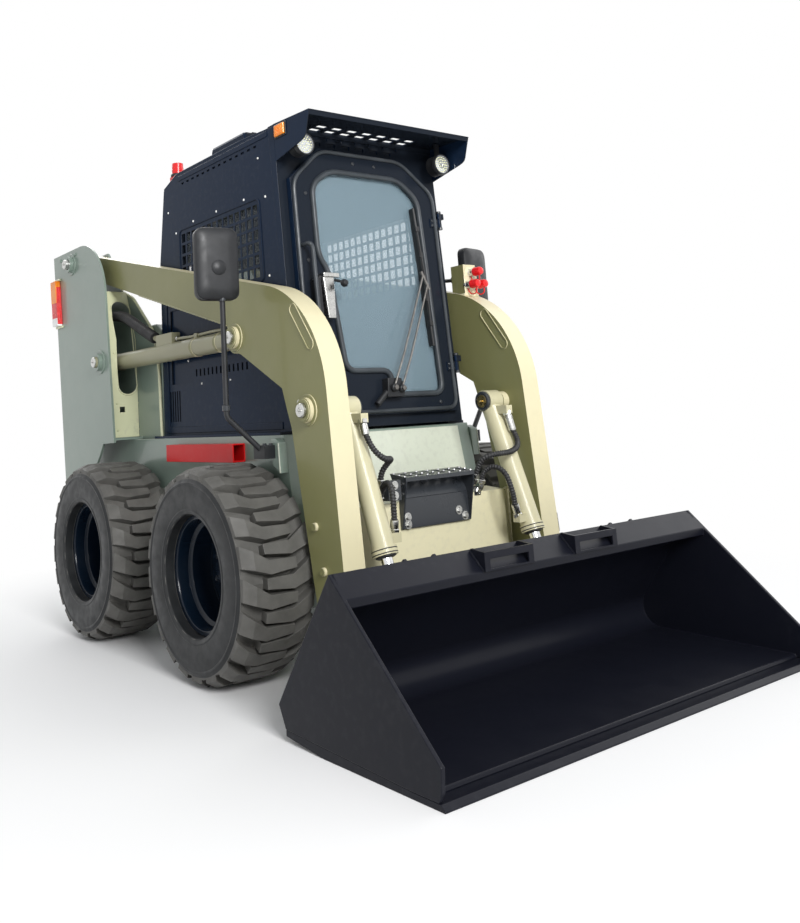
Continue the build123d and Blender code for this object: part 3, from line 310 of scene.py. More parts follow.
def capsule(start, end, half, steps=12):
    """Round-ended outline of some half width round a line in a plane."""
    start, end = Vector(start), Vector(end)
    along = (end - start).normalized()
    across = Vector((-along.y, along.x))
    turns = [math.pi * (k / steps - 0.5) for k in range(steps + 1)]
    return [middle + (along * math.cos(turn) + across * math.sin(turn)) * heading * half
            for middle, heading in ((start, -1), (end, 1)) for turn in turns]


def add_box(form, low, high, place=Matrix()):
    """Box between two opposite corners."""
    verts = [form.verts.new(place @ Vector((x, y, z))) for x in (low[0], high[0]) for y in (low[1], high[1])
             for z in (low[2], high[2])]
    for quad in ((0, 1, 3, 2), (4, 6, 7, 5), (0, 4, 5, 1), (2, 3, 7, 6), (0, 2, 6, 4), (1, 5, 7, 3)):
        form.faces.new([verts[i] for i in quad])


def add_prism(form, outline, low, high, place=Matrix()):
    """Straight prism over an outline of (x, y), from one height to another."""
    rings = [[form.verts.new(place @ Vector((x, y, z))) for x, y in outline] for z in (low, high)]
    form.faces.new(rings[0][::-1])
    form.faces.new(rings[1])
    skin(form, rings)


def skin(form, rings, shift=0):
    """Faces between rings of the same number of points; a shift turns the upper ring of each pair."""
    count = len(rings[0])
    for lower, upper in zip(rings, rings[1:]):
        for k in range(count):
            j = (k + 1) % count
            form.faces.new((lower[k], lower[j], upper[(j + shift) % count], upper[(k + shift) % count]))


def add_lathe(form, profile, place=Matrix(), steps=32):
    """Profile of (radius, height) turned round the local Z axis; radius 0 closes an end."""
    rings = [[form.verts.new(place @ Vector((x, y, height))) for x, y in circle(steps if radius else 1, radius)]
             for radius, height in profile]
    for lower, upper in zip(rings, rings[1:]):
        for k in range(steps):
            j = (k + 1) % steps
            corners = dict.fromkeys(ring[index % len(ring)]
                                    for ring, index in ((lower, k), (lower, j), (upper, j), (upper, k)))
            if len(corners) > 2:
                form.faces.new(list(corners))


def add_collar(form, place, inner, outer, low, high, slope=0.001, steps=32):
    """Ring on a rod or tube, sloped at both ends, from one height to another."""
    add_lathe(form, ((inner, low), (outer, low + slope), (outer, high - slope), (inner, high)), place, steps)


def add_stud(form, place, radius, crown, low, shoulder, top, dome=0.0, steps=24):
    """Round head: straight up to its shoulder, then sloped in to its crown, which may be domed."""
    add_lathe(form, ((radius, low), (radius, shoulder), (crown, top), (0, top + dome)), place, steps)


def add_bolt(form, origin, axis, radius):
    """Hexagon bolt head on a washer."""
    place = pointing(origin, axis, BOLT_TURN)
    add_lathe(form, ((0, 0), (1.5 * radius, 0), (1.5 * radius, 0.2 * radius), (0, 0.2 * radius)), place, 18)
    add_lathe(form, ((0, 0.2 * radius), (radius, 0.2 * radius), (radius, 0.75 * radius),
                     (0.85 * radius, 0.9 * radius), (0, 0.9 * radius)), place, 6)


def add_screw(form, origin, axis, radius):
    """Round button head with a socket."""
    profile = ((0, 0), (1, 0), (0.92, 0.35), (0.6, 0.6), (0.35, 0.62), (0.3, 0.4), (0, 0.4))
    add_lathe(form, [(r * radius, h * radius) for r, h in profile], pointing(origin, axis), 14)


def rounded(points, bend, steps=5, closed=False):
    """Path through points with its corners rounded off."""
    points = [Vector(p) for p in points]
    count = len(points)
    path = []
    for i, here in enumerate(points):
        if not closed and i in (0, count - 1):
            path.append(here)
            continue
        into, away = points[i - 1] - here, points[(i + 1) % count] - here
        start = here + into.normalized() * min(bend, into.length * 0.45)
        end = here + away.normalized() * min(bend, away.length * 0.45)
        for k in range(steps + 1):
            t = k / steps
            path.append(start * (1 - t) ** 2 + here * 2 * t * (1 - t) + end * t ** 2)
    return path


def resampled(path, spacing):
    """The same path with points at an even spacing."""
    result, carry = [path[0]], 0.0
    for a, b in zip(path, path[1:]):
        length = (b - a).length
        at = spacing - carry
        while at < length:
            result.append(a.lerp(b, at / length))
            at += spacing
        carry = (carry + length) % spacing
    return result + [path[-1]]


def add_tube(form, path, radius, sides=10, closed=False, ridge=0.0, pitch=1.0):
    """Round tube along a path; a ridge of some height winds round it at a pitch."""
    count = len(path)
    normal = None
    rings = []
    run = 0.0
    for i, here in enumerate(path):
        before = path[i - 1] if i or closed else here
        after = path[(i + 1) % count] if i < count - 1 or closed else here
        along = (after - before).normalized()
        if normal is None:
            normal = along.orthogonal().normalized()
        normal = (normal - along * normal.dot(along)).normalized()
        other = along.cross(normal)
        if i:
            run += (here - path[i - 1]).length
        ring = []
        for k in range(sides):
            angle = 2 * math.pi * k / sides
            swell = ridge * max(0.0, math.sin(2 * math.pi * run / pitch + angle))
            outward = normal * math.cos(angle) + other * math.sin(angle)
            ring.append(form.verts.new(here + outward * (radius + swell)))
        rings.append(ring)
    skin(form, rings)
    if closed:
        first, last = rings[0], rings[-1]
        skin(form, (last, first), min(range(sides), key=lambda k: (last[0].co - first[k].co).length))
    else:
        form.faces.new(rings[0][::-1])
        form.faces.new(rings[-1])


def add_bent(form, points, bend, radius, sides=10, closed=False):
    """Tube through points, bent at its corners."""
    add_tube(form, rounded(points, bend, closed=closed), radius, sides, closed)


def add_bead(form, start, end, spacing=0.005, radius=0.0028, ridge=0.0012, pitch=0.006):
    """Rippled weld bead along a straight seam."""
    add_tube(form, resampled([Vector(start), Vector(end)], spacing), radius, 6, ridge=ridge, pitch=pitch)


# Placement that turns a prism's outline into the side view, as (y, z), and its height into x.
ALONG_X = Matrix(((0, 0, 1, 0), (1, 0, 0, 0), (0, 1, 0, 0), (0, 0, 0, 1)))

# ---------------- machine's own planes and lines
CAB_HALF = 0.445
FRONT_FOOT = (0, -0.506, 0.916)
FRONT_LEAN = 0.06
FRONT_UP = Vector((0, FRONT_LEAN, 1)).normalized()
FRONT_OUT = Vector((0, -1, FRONT_LEAN)).normalized()
FRONT_PLACE = Matrix((Vector((1, 0, 0)), FRONT_UP, FRONT_OUT)).transposed().to_4x4()
FRONT_PLACE.translation = FRONT_FOOT
WHEEL_X = 0.675
AXLE_Z = 0.402
AXLES = {"front": -0.3, "rear": 0.8}
ARM_MID = 0.512
ARM_INNER = 0.464
ARM_OUTER = 0.56
ARM_BOSS = 0.582
ARM_PIN = 0.592
TOWER_OUT = 0.62
TILT_X = 0.384
# Pins in the side view, as (y, z).
LIFT_PIVOT = (1.432, 1.89)
LIFT_BASE = (1.041, 1.309)
LIFT_EYE = (-0.242, 1.31)
TILT_TOP = (-0.742, 0.994)
TILT_EYE = (-0.985, 0.285)
BUCKET_PIVOT = (-0.835, 0.175)
# Rear top corner of the towers and fold of their covers, as (y, z), with the slopes of their faces.
TOWER_TOP = (1.716, 1.973)
TOWER_LEAN = 0.1262
COVER_FOLD = (0.957, 1.42)
COVER_LEAN_BELOW = 0.02 / 0.502
COVER_LEAN_ABOVE = 0.105 / 0.268


def front(x, height, out=0.0):
    """Point on the cab's leaning front face."""
    return FRONT_PLACE @ Vector((x, height, out))


def front_path(*points):
    """Points (x, height, out) on the cab's leaning front face."""
    return [front(*point) for point in points]


def tower_rear(z):
    """y of the towers' leaning rear edge at a height."""
    return TOWER_TOP[0] - TOWER_LEAN * (TOWER_TOP[1] - z)


def cover_face(z):
    """y of the folded tower covers' front face at a height."""
    lean = COVER_LEAN_ABOVE if z > COVER_FOLD[1] else COVER_LEAN_BELOW
    return COVER_FOLD[0] + (z - COVER_FOLD[1]) * lean


def from_side(side, x, center):
    """Placement on a face that looks along X, at a place (y, z) of the side view."""
    return pointing((side * x, *center), (side, 0, 0))


# ---------------- finish of the CAD nodes
# Width of the rounded edges: starts of the nodes' names.
NODE_BEVELS = {
    0.0012: ("cab_side",),
    0.0015: ("rim", "step", "lip_brackets", "cutting_edge", "cab_visor", "lift_barrels", "tilt_barrels"),
    0.002: ("tower", "coupler", "cross_member", "tow_eye", "front_panel", "exhaust", "brace_tube"),
    0.0025: ("cab_front_frame",),
    0.003: ("bucket", "chassis", "rear_door", "front_door", "cab_rear", "cab_roof", "work_lights",
            "marker_lamps", "tail_lamps"),
    0.0035: ("tyre",),
    0.004: ("arm",),
    0.005: ("mirror",),
    0.006: ("engine_hood",),
    0.014: ("roof_box",),
}
for name, node in nodes.items():
    for width, starts in NODE_BEVELS.items():
        if name.startswith(starts):
            weld = node.modifiers.new("weld", "WELD")
            weld.merge_threshold = 0.00002
            flat = node.modifiers.new("flat", "DECIMATE")
            flat.decimate_type = "DISSOLVE"
            flat.angle_limit = math.radians(1.0)
            round_off(node, width)

# ---------------- wheels
# Sidewall skin from the bead lip to the lugs: radius, distance out from the wheel's middle.
SIDEWALL = ((0.2245, 0.113), (0.2245, 0.148), (0.229, 0.1545), (0.237, 0.156), (0.24, 0.158),
            (0.244, 0.1582), (0.247, 0.1566), (0.265, 0.16), (0.295, 0.1618), (0.32, 0.1605),
            (0.336, 0.158), (0.34, 0.16), (0.345, 0.1602), (0.348, 0.157), (0.356, 0.154),
            (0.362, 0.15))
NUT = ((0.017, 0), (0.017, 0.005), (0.0125, 0.008), (0.0125, 0.02), (0.009, 0.024), (0, 0.024))
NUT_COUNT = 8
NUT_CIRCLE = 0.11
DISC_FACE = -0.033
HUB_CAP = ((0.072, -0.008), (0.072, -0.001), (0.058, 0.004), (0.05, 0.018), (0.03, 0.024), (0, 0.025))
VALVE = ((0.185, 0, 0.03), (0.18, 0, 0.06), (0.165, 0, 0.082))
for axle, axle_y in AXLES.items():
    for side, side_name in SIDES.items():
        wheel = f"{axle}_{side_name}"
        inward, outward = (pointing((side * WHEEL_X, axle_y, AXLE_Z), (face, 0, 0)) for face in (-side, side))
        walls = begin(f"sidewalls_{wheel}", "sidewall_rubber", f"wheel_{wheel}")
        nuts = begin(f"wheel_nuts_{wheel}", "rim_paint", f"wheel_{wheel}")
        valve = begin(f"valve_{wheel}", "zinc", f"wheel_{wheel}")
        add_lathe(walls, SIDEWALL, inward, 72)
        add_lathe(walls, SIDEWALL, outward, 72)
        for x, y in circle(NUT_COUNT, NUT_CIRCLE, 0.5):
            add_lathe(nuts, NUT, outward @ Matrix.Translation((x, y, DISC_FACE)), 6)
        add_lathe(nuts, HUB_CAP, outward, 40)
        add_bent(valve, [outward @ Vector(point) for point in VALVE], 0.012, 0.0045, 8)

# ---------------- front door
DOOR_FACE = 0.03
DOOR_EDGE = ((-0.19, 0.058), (-0.389, 0.472), (-0.389, 1.036), (-0.24, 1.177), (0.211, 1.177), (0.389, 1.036),
             (0.389, 0.058))
DOOR_WINDOW = ((-0.296, 0.716), (-0.296, 1.021), (-0.203, 1.09), (0.187, 1.09), (0.293, 1.003), (0.315, 0.124),
               (0.03, 0.124), (0.03, 0.228), (-0.204, 0.228), (-0.25, 0.646))
DOOR_TUBES = (
    # name, outline, height over the door, radius, sides
    ("door_edge_tube", DOOR_EDGE, 0.004, 0.0085, 10),
    ("door_window_seal", DOOR_WINDOW, 0.003, 0.0125, 12),
)
for name, outline, over, radius, sides in DOOR_TUBES:
    form = begin(name, "seal_rubber", "front_door")
    add_bent(form, [front(x, height, DOOR_FACE + over) for x, height in outline], 0.05, radius, sides, True)

# Latch: two plates, a handle block and a knob on a bent stalk.
plates = begin("door_latch_plate", "zinc", "front_door", 0.003)
knob = begin("door_latch_knob", "black_plastic", "front_door", 0.002)
add_prism(plates, ((-0.3, 0.44), (-0.262, 0.44), (-0.256, 0.626), (-0.312, 0.626)),
          DOOR_FACE + 0.001, DOOR_FACE + 0.046, FRONT_PLACE)
add_prism(plates, ((-0.312, 0.61), (-0.232, 0.61), (-0.232, 0.63), (-0.312, 0.63)),
          DOOR_FACE + 0.001, DOOR_FACE + 0.052, FRONT_PLACE)
add_prism(knob, ((-0.346, 0.47), (-0.31, 0.46), (-0.312, 0.622), (-0.346, 0.6)),
          DOOR_FACE, DOOR_FACE + 0.03, FRONT_PLACE)
add_bent(knob, front_path((-0.25, 0.6, 0.07), (-0.244, 0.592, 0.095), (-0.24, 0.58, 0.112)), 0.01, 0.006)
add_lathe(knob, ((0, -0.017), (0.01, -0.014), (0.0165, -0.004), (0.0165, 0.004), (0.011, 0.014), (0, 0.017)),
          pointing(front(-0.24, 0.578, 0.12), FRONT_OUT), 20)

form = begin("door_grab_bar", "seal_rubber", "front_door")
add_bent(form, front_path((-0.368, 0.752, 0.028), (-0.368, 0.752, 0.078), (-0.352, 0.735, 0.078),
                          (-0.35, 0.35, 0.078), (-0.35, 0.335, 0.028)), 0.022, 0.0095, 12)

# Wiper: motor cover, shafts, two parallel arms, blade carrier and blade.
WIPER_ARMS = (((0.004, 0.15), (0.25, 0.64)), ((0.046, 0.146), (0.272, 0.6)))
WIPER_ELBOW = 0.3
motor = begin("wiper_motor", "black_plastic", "front_door", 0.003)
arms = begin("wiper_arms", "iron", "front_door")
blade = begin("wiper_blade", "rubber", "front_door", 0.0015)
add_prism(motor, ((-0.028, 0.112), (0.062, 0.112), (0.07, 0.15), (0.052, 0.192), (-0.02, 0.192)),
          DOOR_FACE + 0.001, DOOR_FACE + 0.04, FRONT_PLACE)
add_tube(motor, front_path((-0.075, 0.085, 0.05), (-0.02, 0.135, 0.055)), 0.013, 12)
for (x0, h0), (x1, h1) in WIPER_ARMS:
    add_stud(motor, pointing(front(x0, h0, DOOR_FACE + 0.039), FRONT_OUT), 0.017, 0.013, 0, 0.012, 0.018,
             dome=0.001, steps=20)
    elbow = (x0 + (x1 - x0) * WIPER_ELBOW, h0 + (h1 - h0) * WIPER_ELBOW, 0.08)
    add_tube(arms, front_path((x0, h0, 0.076), elbow, (x1, h1, 0.062)), 0.0048, 8)
    add_lathe(arms, ((0.011, 0), (0.011, 0.01), (0, 0.012)),
              pointing(front(x0, h0, DOOR_FACE + 0.055), FRONT_OUT), 6)
add_tube(arms, front_path((0.242, 0.66, 0.062), (0.28, 0.58, 0.062)), 0.007, 8)
add_tube(blade, front_path((0.252, 0.96, 0.046), (0.266, 0.64, 0.052), (0.282, 0.33, 0.046)), 0.0065, 8)
add_tube(blade, front_path((0.256, 0.86, 0.052), (0.264, 0.64, 0.062), (0.276, 0.43, 0.052)), 0.0045, 8)
add_prism(blade, ((0.25, 0.96), (0.254, 0.96), (0.284, 0.33), (0.28, 0.33)), 0.018, 0.046, FRONT_PLACE)
for height in (0.43, 0.54, 0.74, 0.86):
    x = 0.256 + (0.86 - height) / 0.43 * 0.02
    add_box(blade, (x - 0.009, height - 0.012, 0.04), (x + 0.009, height + 0.012, 0.058), FRONT_PLACE)

# Screws round the door, as (x, height up the face), and the hinges with their own screws and caps.
DOOR_SCREWS = ((-0.205, 0.11), (0.3, 0.085), (-0.345, 0.69), (-0.33, 0.98), (0.06, 1.14), (-0.06, 1.14))
HINGE_X = 0.418
HINGE_OUT = 0.0359
HINGE_HEIGHTS = (0.254, 0.916)
screws = begin("door_screws", "black_paint", "front_door")
caps = begin("door_hinge_caps", "black_paint", bevel=0.0015)
for x, height in DOOR_SCREWS:
    add_screw(screws, front(x, height, DOOR_FACE), FRONT_OUT, 0.0085)
for height in HINGE_HEIGHTS:
    for dx in (-0.046, -0.022):
        for dh in (-0.024, -0.004):
            add_screw(screws, front(HINGE_X + dx, height + dh, HINGE_OUT), FRONT_OUT, 0.006)
    for low, high in ((-0.044, -0.033), (0.033, 0.044)):
        add_lathe(caps, ((0, low), (0.0115, low), (0.0115, high), (0, high)),
                  pointing(front(HINGE_X, height, HINGE_OUT), FRONT_UP), 18)

# ---------------- cab
# Small screws on each side wall, as (y, z).
SIDE_SCREWS = ((0.395, 1.263), (0.269, 1.149), (0.007, 1.15), (-0.14, 1.263), (0.48, 1.56), (0.48, 1.9),
               (-0.35, 1.56), (-0.345, 1.9), (0.075, 1.925), (0.075, 1.528), (0.3, 1.925), (-0.17, 1.925),
               (0.56, 2.02), (-0.3, 2.08))
# Seam lips of each side wall at the rear pillar, the foot and the roof rail, as corners (y, z).
SIDE_LIPS = (((0.6, 0.93), (0.655, 1.74)), ((-0.4, 0.925), (0.6, 0.955)), ((-0.38, 2.155), (0.44, 2.18)))
MESH_LIP = ((-0.312, 1.545), (0.446, 1.545), (0.446, 1.905), (-0.296, 1.905))
screws = begin("cab_screws", "white_plastic")
lips = begin("cab_side_lips", "cab_paint", bevel=0.0018)
mesh = begin("mesh_window_lips", "cab_paint")
bases = begin("marker_lamp_bases", "black_plastic", bevel=0.002)
ribs = begin("marker_lamp_ribs", "amber_plastic", bevel=0.0006)
for side in SIDES:
    wall = side * CAB_HALF
    for y, z in SIDE_SCREWS:
        add_screw(screws, (wall, y, z), (side, 0, 0), 0.0055)
    for low, high in SIDE_LIPS:
        add_box(lips, (wall, *low), (wall + side * 0.004, *high))
    add_bent(mesh, [(wall + side * 0.001, y, z) for y, z in MESH_LIP], 0.03, 0.004, 6, True)
    add_box(bases, (wall, -0.528, 2.124), (wall + side * 0.005, -0.442, 2.184))
    for y in (-0.505, -0.495, -0.485, -0.475, -0.465):
        add_box(ribs, (wall + side * 0.0115, y - 0.002, 2.136), (wall + side * 0.0135, y + 0.002, 2.172))

# Work lights: bezel with cooling fins, reflector dish, rings of diodes, lens.
WORK_LIGHT = (0.384, -0.5625, 2.08)
BEZEL = ((0.0425, -0.01), (0.0485, -0.01), (0.0495, 0.004), (0.0465, 0.01), (0.0425, 0.01), (0.0415, 0.003))
DISH = ((0.0425, 0.0015), (0.03, 0.0015), (0.026, 0.003), (0.01, 0.003), (0.008, 0.0015), (0, 0.0015))
LENS = ((0.043, 0.0075), (0.03, 0.0092), (0.015, 0.01), (0, 0.0102))
DIODE_RINGS = (
    # radius, diodes, size of a diode
    (0.0345, 18, 0.003),
    (0.0225, 12, 0.003),
    (0.011, 6, 0.0026),
)
bezel = begin("work_light_bezels", "black_plastic")
dish = begin("work_light_dishes", "mirror_glass")
diodes = begin("work_light_diodes", "led_yellow")
lens = begin("work_light_lenses", "clear_lens")
for side in SIDES:
    place = pointing((side * WORK_LIGHT[0], *WORK_LIGHT[1:]), (0, -1, 0))
    add_lathe(bezel, BEZEL, place, 40)
    for fin in range(5):
        depth = -0.018 - fin * 0.0075
        add_collar(bezel, place, 0.04, 0.0465, depth, depth - 0.003, slope=0)
    add_lathe(dish, DISH, place, 40)
    for ring, count, size in DIODE_RINGS:
        for x, y in circle(count, ring):
            add_lathe(diodes, ((size, 0), (size * 0.9, 0.002), (size * 0.5, 0.0035), (0, 0.004)),
                      place @ Matrix.Translation((x, y, 0.003)), 8)
    add_lathe(lens, LENS, place)

# Folded seam that closes the joint between the visor and the front frame.
form = begin("visor_seam", "cab_paint", bevel=0.001)
add_box(form, (-CAB_HALF + 0.001, -0.4375, 2.17), (CAB_HALF - 0.001, -0.429, 2.1905))
add_box(form, (-CAB_HALF + 0.001, -0.433, 2.1885), (CAB_HALF - 0.001, -0.386, 2.195))

BEACON = (-0.39, 0.55, 2.212)
dome = begin("beacon_dome", "red_plastic")
base = begin("beacon_base", "black_plastic")
add_lathe(dome, ((0.028, 0.012), (0.0305, 0.014), (0.0295, 0.026), (0.0305, 0.03), (0.0295, 0.038),
                 (0.03, 0.042), (0.0285, 0.052), (0.0285, 0.062), (0.022, 0.07), (0.01, 0.073),
                 (0, 0.0735)), Matrix.Translation(BEACON), 36)
add_lathe(base, ((0.034, -0.002), (0.036, 0.002), (0.036, 0.01), (0.031, 0.014), (0.028, 0.014)),
          Matrix.Translation(BEACON), 36)

# Ribs along the roof box and louvres on its front.
form = begin("roof_box_ribs", "black_paint", bevel=0.001)
for x in (-0.3, -0.1, 0.1, 0.3):
    add_box(form, (x - 0.012, -0.055, 2.284), (x + 0.012, 0.245, 2.2872))
for k in range(9):
    y, z = -0.088 + k * 0.0023, 2.215 + k * 0.0065
    add_box(form, (-0.24, y, z), (0.24, y + 0.01, z + 0.003))

# ---------------- mirrors
MIRROR_CENTER = (0.716, -0.378, 1.5895)
MIRROR_TURN = math.radians(10)
MIRROR_HALF = (0.091, 0.1475)
MIRROR_SHELL = ((0, -0.006), (0, 0.012), (0.004, 0.021), (0.016, 0.029), (0.045, 0.033))  # inset, depth
corners = [(x * MIRROR_HALF[0], z * MIRROR_HALF[1], 0) for x, z in ((-1, -1), (1, -1), (1, 1), (-1, 1))]
outline = rounded(corners, 0.045, closed=True)
for side, side_name in SIDES.items():
    place = (Matrix.Translation((side * MIRROR_CENTER[0], *MIRROR_CENTER[1:]))
             @ Matrix.Rotation(side * MIRROR_TURN, 4, "Z") @ Matrix.Rotation(math.pi / 2, 4, "X"))
    shell = begin(f"mirror_shell_{side_name}", "black_plastic")
    pane = begin(f"mirror_pane_{side_name}", "mirror_glass")
    clamps = begin(f"mirror_clamps_{side_name}", "black_paint")
    rings = []
    for inset, depth in MIRROR_SHELL:
        wide, tall = (1 - inset / half for half in MIRROR_HALF)
        rings.append([shell.verts.new(place @ Vector((p.x * wide, p.y * tall, depth))) for p in outline])
    skin(shell, rings)
    shell.faces.new(rings[-1])
    add_stud(shell, place @ Matrix.Translation((0, -0.018, 0)), 0.03, 0.02, 0.028, 0.036, 0.042, dome=0.001)
    add_prism(pane, [(p.x * 0.92, p.y * 0.94) for p in outline], -0.0185, -0.0165, place)
    for z in (1.02, 1.45, 1.5):
        add_collar(clamps, pointing((side * 0.7, -0.39, z), (0, 0, 1)), 0.011, 0.016, -0.012, 0.012,
                   slope=0.002, steps=18)
    for y in (-0.452, -0.408):
        add_bolt(clamps, (side * 0.545, y, 0.868), (0, 0, 1), 0.009)


# ---------------- lift arms
def add_ring_plate(form, place, outer, inner, thick):
    """Flat ring round a pin, with its outer edge cut off."""
    cut = thick * 0.3
    add_lathe(form, ((inner, 0), (outer, 0), (outer, thick - cut), (outer - cut, thick), (inner, thick)), place, 40)


PIN_END = ((0.0265, -0.004), (0.0265, 0.004), (0.0235, 0.0075), (0.01113, 0.0075), (0.00954, 0.0055),
           (0, 0.0055))
NIPPLE = ((0.0045, 0.0055), (0.0045, 0.01), (0.0028, 0.012), (0.0034, 0.015), (0, 0.0162))


def add_pin_head(form, place):
    """Turned end of a pin, with its grease nipple."""
    add_lathe(form, PIN_END, place)
    add_lathe(form, NIPPLE, place, 10)


CROWN_SLOT = ((-0.675, 1.375), (-0.775, 1.235))
WELD_PLUG = ((0.015, 0), (0.015, 0.01), (0.013, 0.013), (0.006, 0.013), (0, 0.0118))
WELD_PLUGS = ((-0.753, 0.58), (-0.793, 0.429))
rings = begin("arm_rings", "arm_paint", "lift_arms")
heads = begin("arm_pin_heads", "zinc", "lift_arms")
lips = begin("arm_crown_lips", "arm_paint", "lift_arms")
plugs = begin("arm_weld_plugs", "arm_paint", "lift_arms")
welds = begin("arm_welds", "arm_paint", "lift_arms")
for side in SIDES:
    for center in (TILT_TOP, LIFT_EYE):
        add_ring_plate(rings, from_side(side, ARM_OUTER, center), 0.058, 0.046, 0.006)
        add_ring_plate(rings, from_side(side, ARM_BOSS, center), 0.041, 0.028, 0.004)
        add_pin_head(heads, from_side(side, ARM_PIN, center))
        add_bolt(heads, (side * 0.5665, center[0] + 0.044, center[1] + 0.03), (side, 0, 0), 0.0075)
    add_pin_head(heads, from_side(side, 0.66, LIFT_PIVOT))
    for x in (ARM_OUTER + 0.0005, ARM_INNER - 0.0005):
        add_tube(lips, [Vector((side * x, *point)) for point in capsule(*CROWN_SLOT, 0.021)], 0.0032, 8, True)
    for center in WELD_PLUGS:
        add_lathe(plugs, WELD_PLUG, from_side(side, ARM_OUTER, center), 20)
    # Beads along the seam under the arm's tail, and where the cross plate meets the arm.
    for x in (ARM_INNER, ARM_OUTER):
        add_bead(welds, (side * x, -0.172, 1.3695), (side * x, 0.68, 1.6133))
    for z in (0.335, 0.625):
        add_bead(welds, (side * 0.395, -0.771, z), (side * ARM_INNER, -0.727, z), 0.004)
    x = side * (ARM_INNER - 0.001)
    add_bead(welds, (x, -0.726, 0.335), (x, -0.726, 0.625), radius=0.0035)

# Couplings on the left arm: collars, caps on their tethers, a small lever and the block's plate.
BLOCK_FRONT = -0.56
BLOCK_REAR = -0.48
BLOCK_EDGE = ((-0.041, 1.482), (0.041, 1.482), (0.041, 1.56), (0.024, 1.606), (-0.024, 1.606), (-0.041, 1.56))
COUPLINGS = ((-0.024, 1.523), (0.024, 1.523), (0, 1.58))
COUPLING_CAP = ((0.0165, 0.034), (0.0205, 0.034), (0.021, 0.038), (0.0205, 0.044), (0.0195, 0.046),
                (0.0195, 0.066), (0.016, 0.074), (0.008, 0.077), (0, 0.0775))
TETHER = ((-0.062, -0.02), (-0.06, -0.042), (-0.036, -0.048), (-0.014, -0.036), (-0.01, -0.019))
LEVER_X = 0.5
collar = begin("coupling_collars", "zinc", "lift_arms")
cap = begin("coupling_caps", "red_plastic", "lift_arms")
tether = begin("coupling_tethers", "red_plastic", "lift_arms")
lever = begin("coupling_lever", "black_plastic", "lift_arms")
plate = begin("coupling_plate", "arm_paint_lit_tone", "lift_arms", 0.0015)
for dx, z in COUPLINGS:
    x = ARM_MID + dx
    place = pointing((x, BLOCK_FRONT, z), (0, -1, 0))
    add_lathe(collar, ((0.0205, 0), (0.0205, 0.01), (0.018, 0.012)), place, 6)
    add_lathe(collar, ((0.018, 0.012), (0.018, 0.03), (0.0165, 0.032), (0.015, 0.032)), place, 28)
    add_lathe(cap, COUPLING_CAP, place, 30)
    add_bent(tether, [(x, BLOCK_FRONT + dy, z + dz) for dy, dz in TETHER], 0.012, 0.003, 8)
add_bent(lever, ((LEVER_X, BLOCK_REAR, 1.56), (LEVER_X, -0.42, 1.562), (LEVER_X, -0.3, 1.585)), 0.03, 0.009)
add_bent(lever, ((LEVER_X, -0.31, 1.583), (LEVER_X, -0.3, 1.615), (LEVER_X, -0.285, 1.64)), 0.012, 0.0045, 8)
add_lathe(lever, ((0.009, 0), (0.0165, 0.002), (0.0165, 0.02), (0.009, 0.024)),
          pointing((LEVER_X, BLOCK_REAR, 1.56), (0, 1, 0)), 6)
add_box(plate, (ARM_MID - 0.046, BLOCK_FRONT - 0.004, 1.4725), (ARM_MID + 0.046, BLOCK_REAR + 0.006, 1.484))
add_prism(plate, [(ARM_MID + x, z) for x, z in BLOCK_EDGE], BLOCK_FRONT - 0.0045, BLOCK_FRONT - 0.0005,
          Matrix(((1, 0, 0, 0), (0, 0, 1, 0), (0, 1, 0, 0), (0, 0, 0, 1))))

# ---------------- towers
INNER_EDGE = ((1.2, 1.83), (1.137, 1.704), (0.993, 1.647), (0.75, 1.436), (0.705, 1.24), (0.69, 0.905))
# Slot in each cover, from its middle, and screws as height and distance from the middle.
COVER_SLOT = ((0, 1.583), (0, 1.184))
COVER_SCREWS = ((0.955, 0.062), (1.09, 0.062), (1.35, 0.0682))
bolts = begin("tower_bolts", "body_paint")
rings = begin("tower_rings", "body_paint")
heads = begin("lift_base_heads", "zinc", "lift_barrels")
lips = begin("cover_slot_lips", "cover_paint")
edges = begin("tower_edge_strips", "cover_paint")
for side in SIDES:
    for center in (LIFT_PIVOT, LIFT_BASE):
        add_ring_plate(rings, from_side(side, TOWER_OUT, center), 0.062, 0.046, 0.007)
    add_pin_head(heads, from_side(side, 0.656, LIFT_BASE))
    for y in (1.37, 1.6):
        add_bolt(bolts, (side * TOWER_OUT, y, 1.94), (side, 0, 0), 0.008)
    slot = capsule(*COVER_SLOT, 0.053)
    add_tube(lips, [Vector((side * ARM_MID + x, cover_face(z) - 0.001, z)) for x, z in slot], 0.0035, 8, True)
    for z, dx in COVER_SCREWS:
        for x in (-dx, dx):
            add_screw(lips, (side * ARM_MID + x, cover_face(z), z), (0, -1, 0.04), 0.007)
    add_bent(edges, [(side * 0.45, y - 0.002, z) for y, z in INNER_EDGE], 0.03, 0.0075, 8)

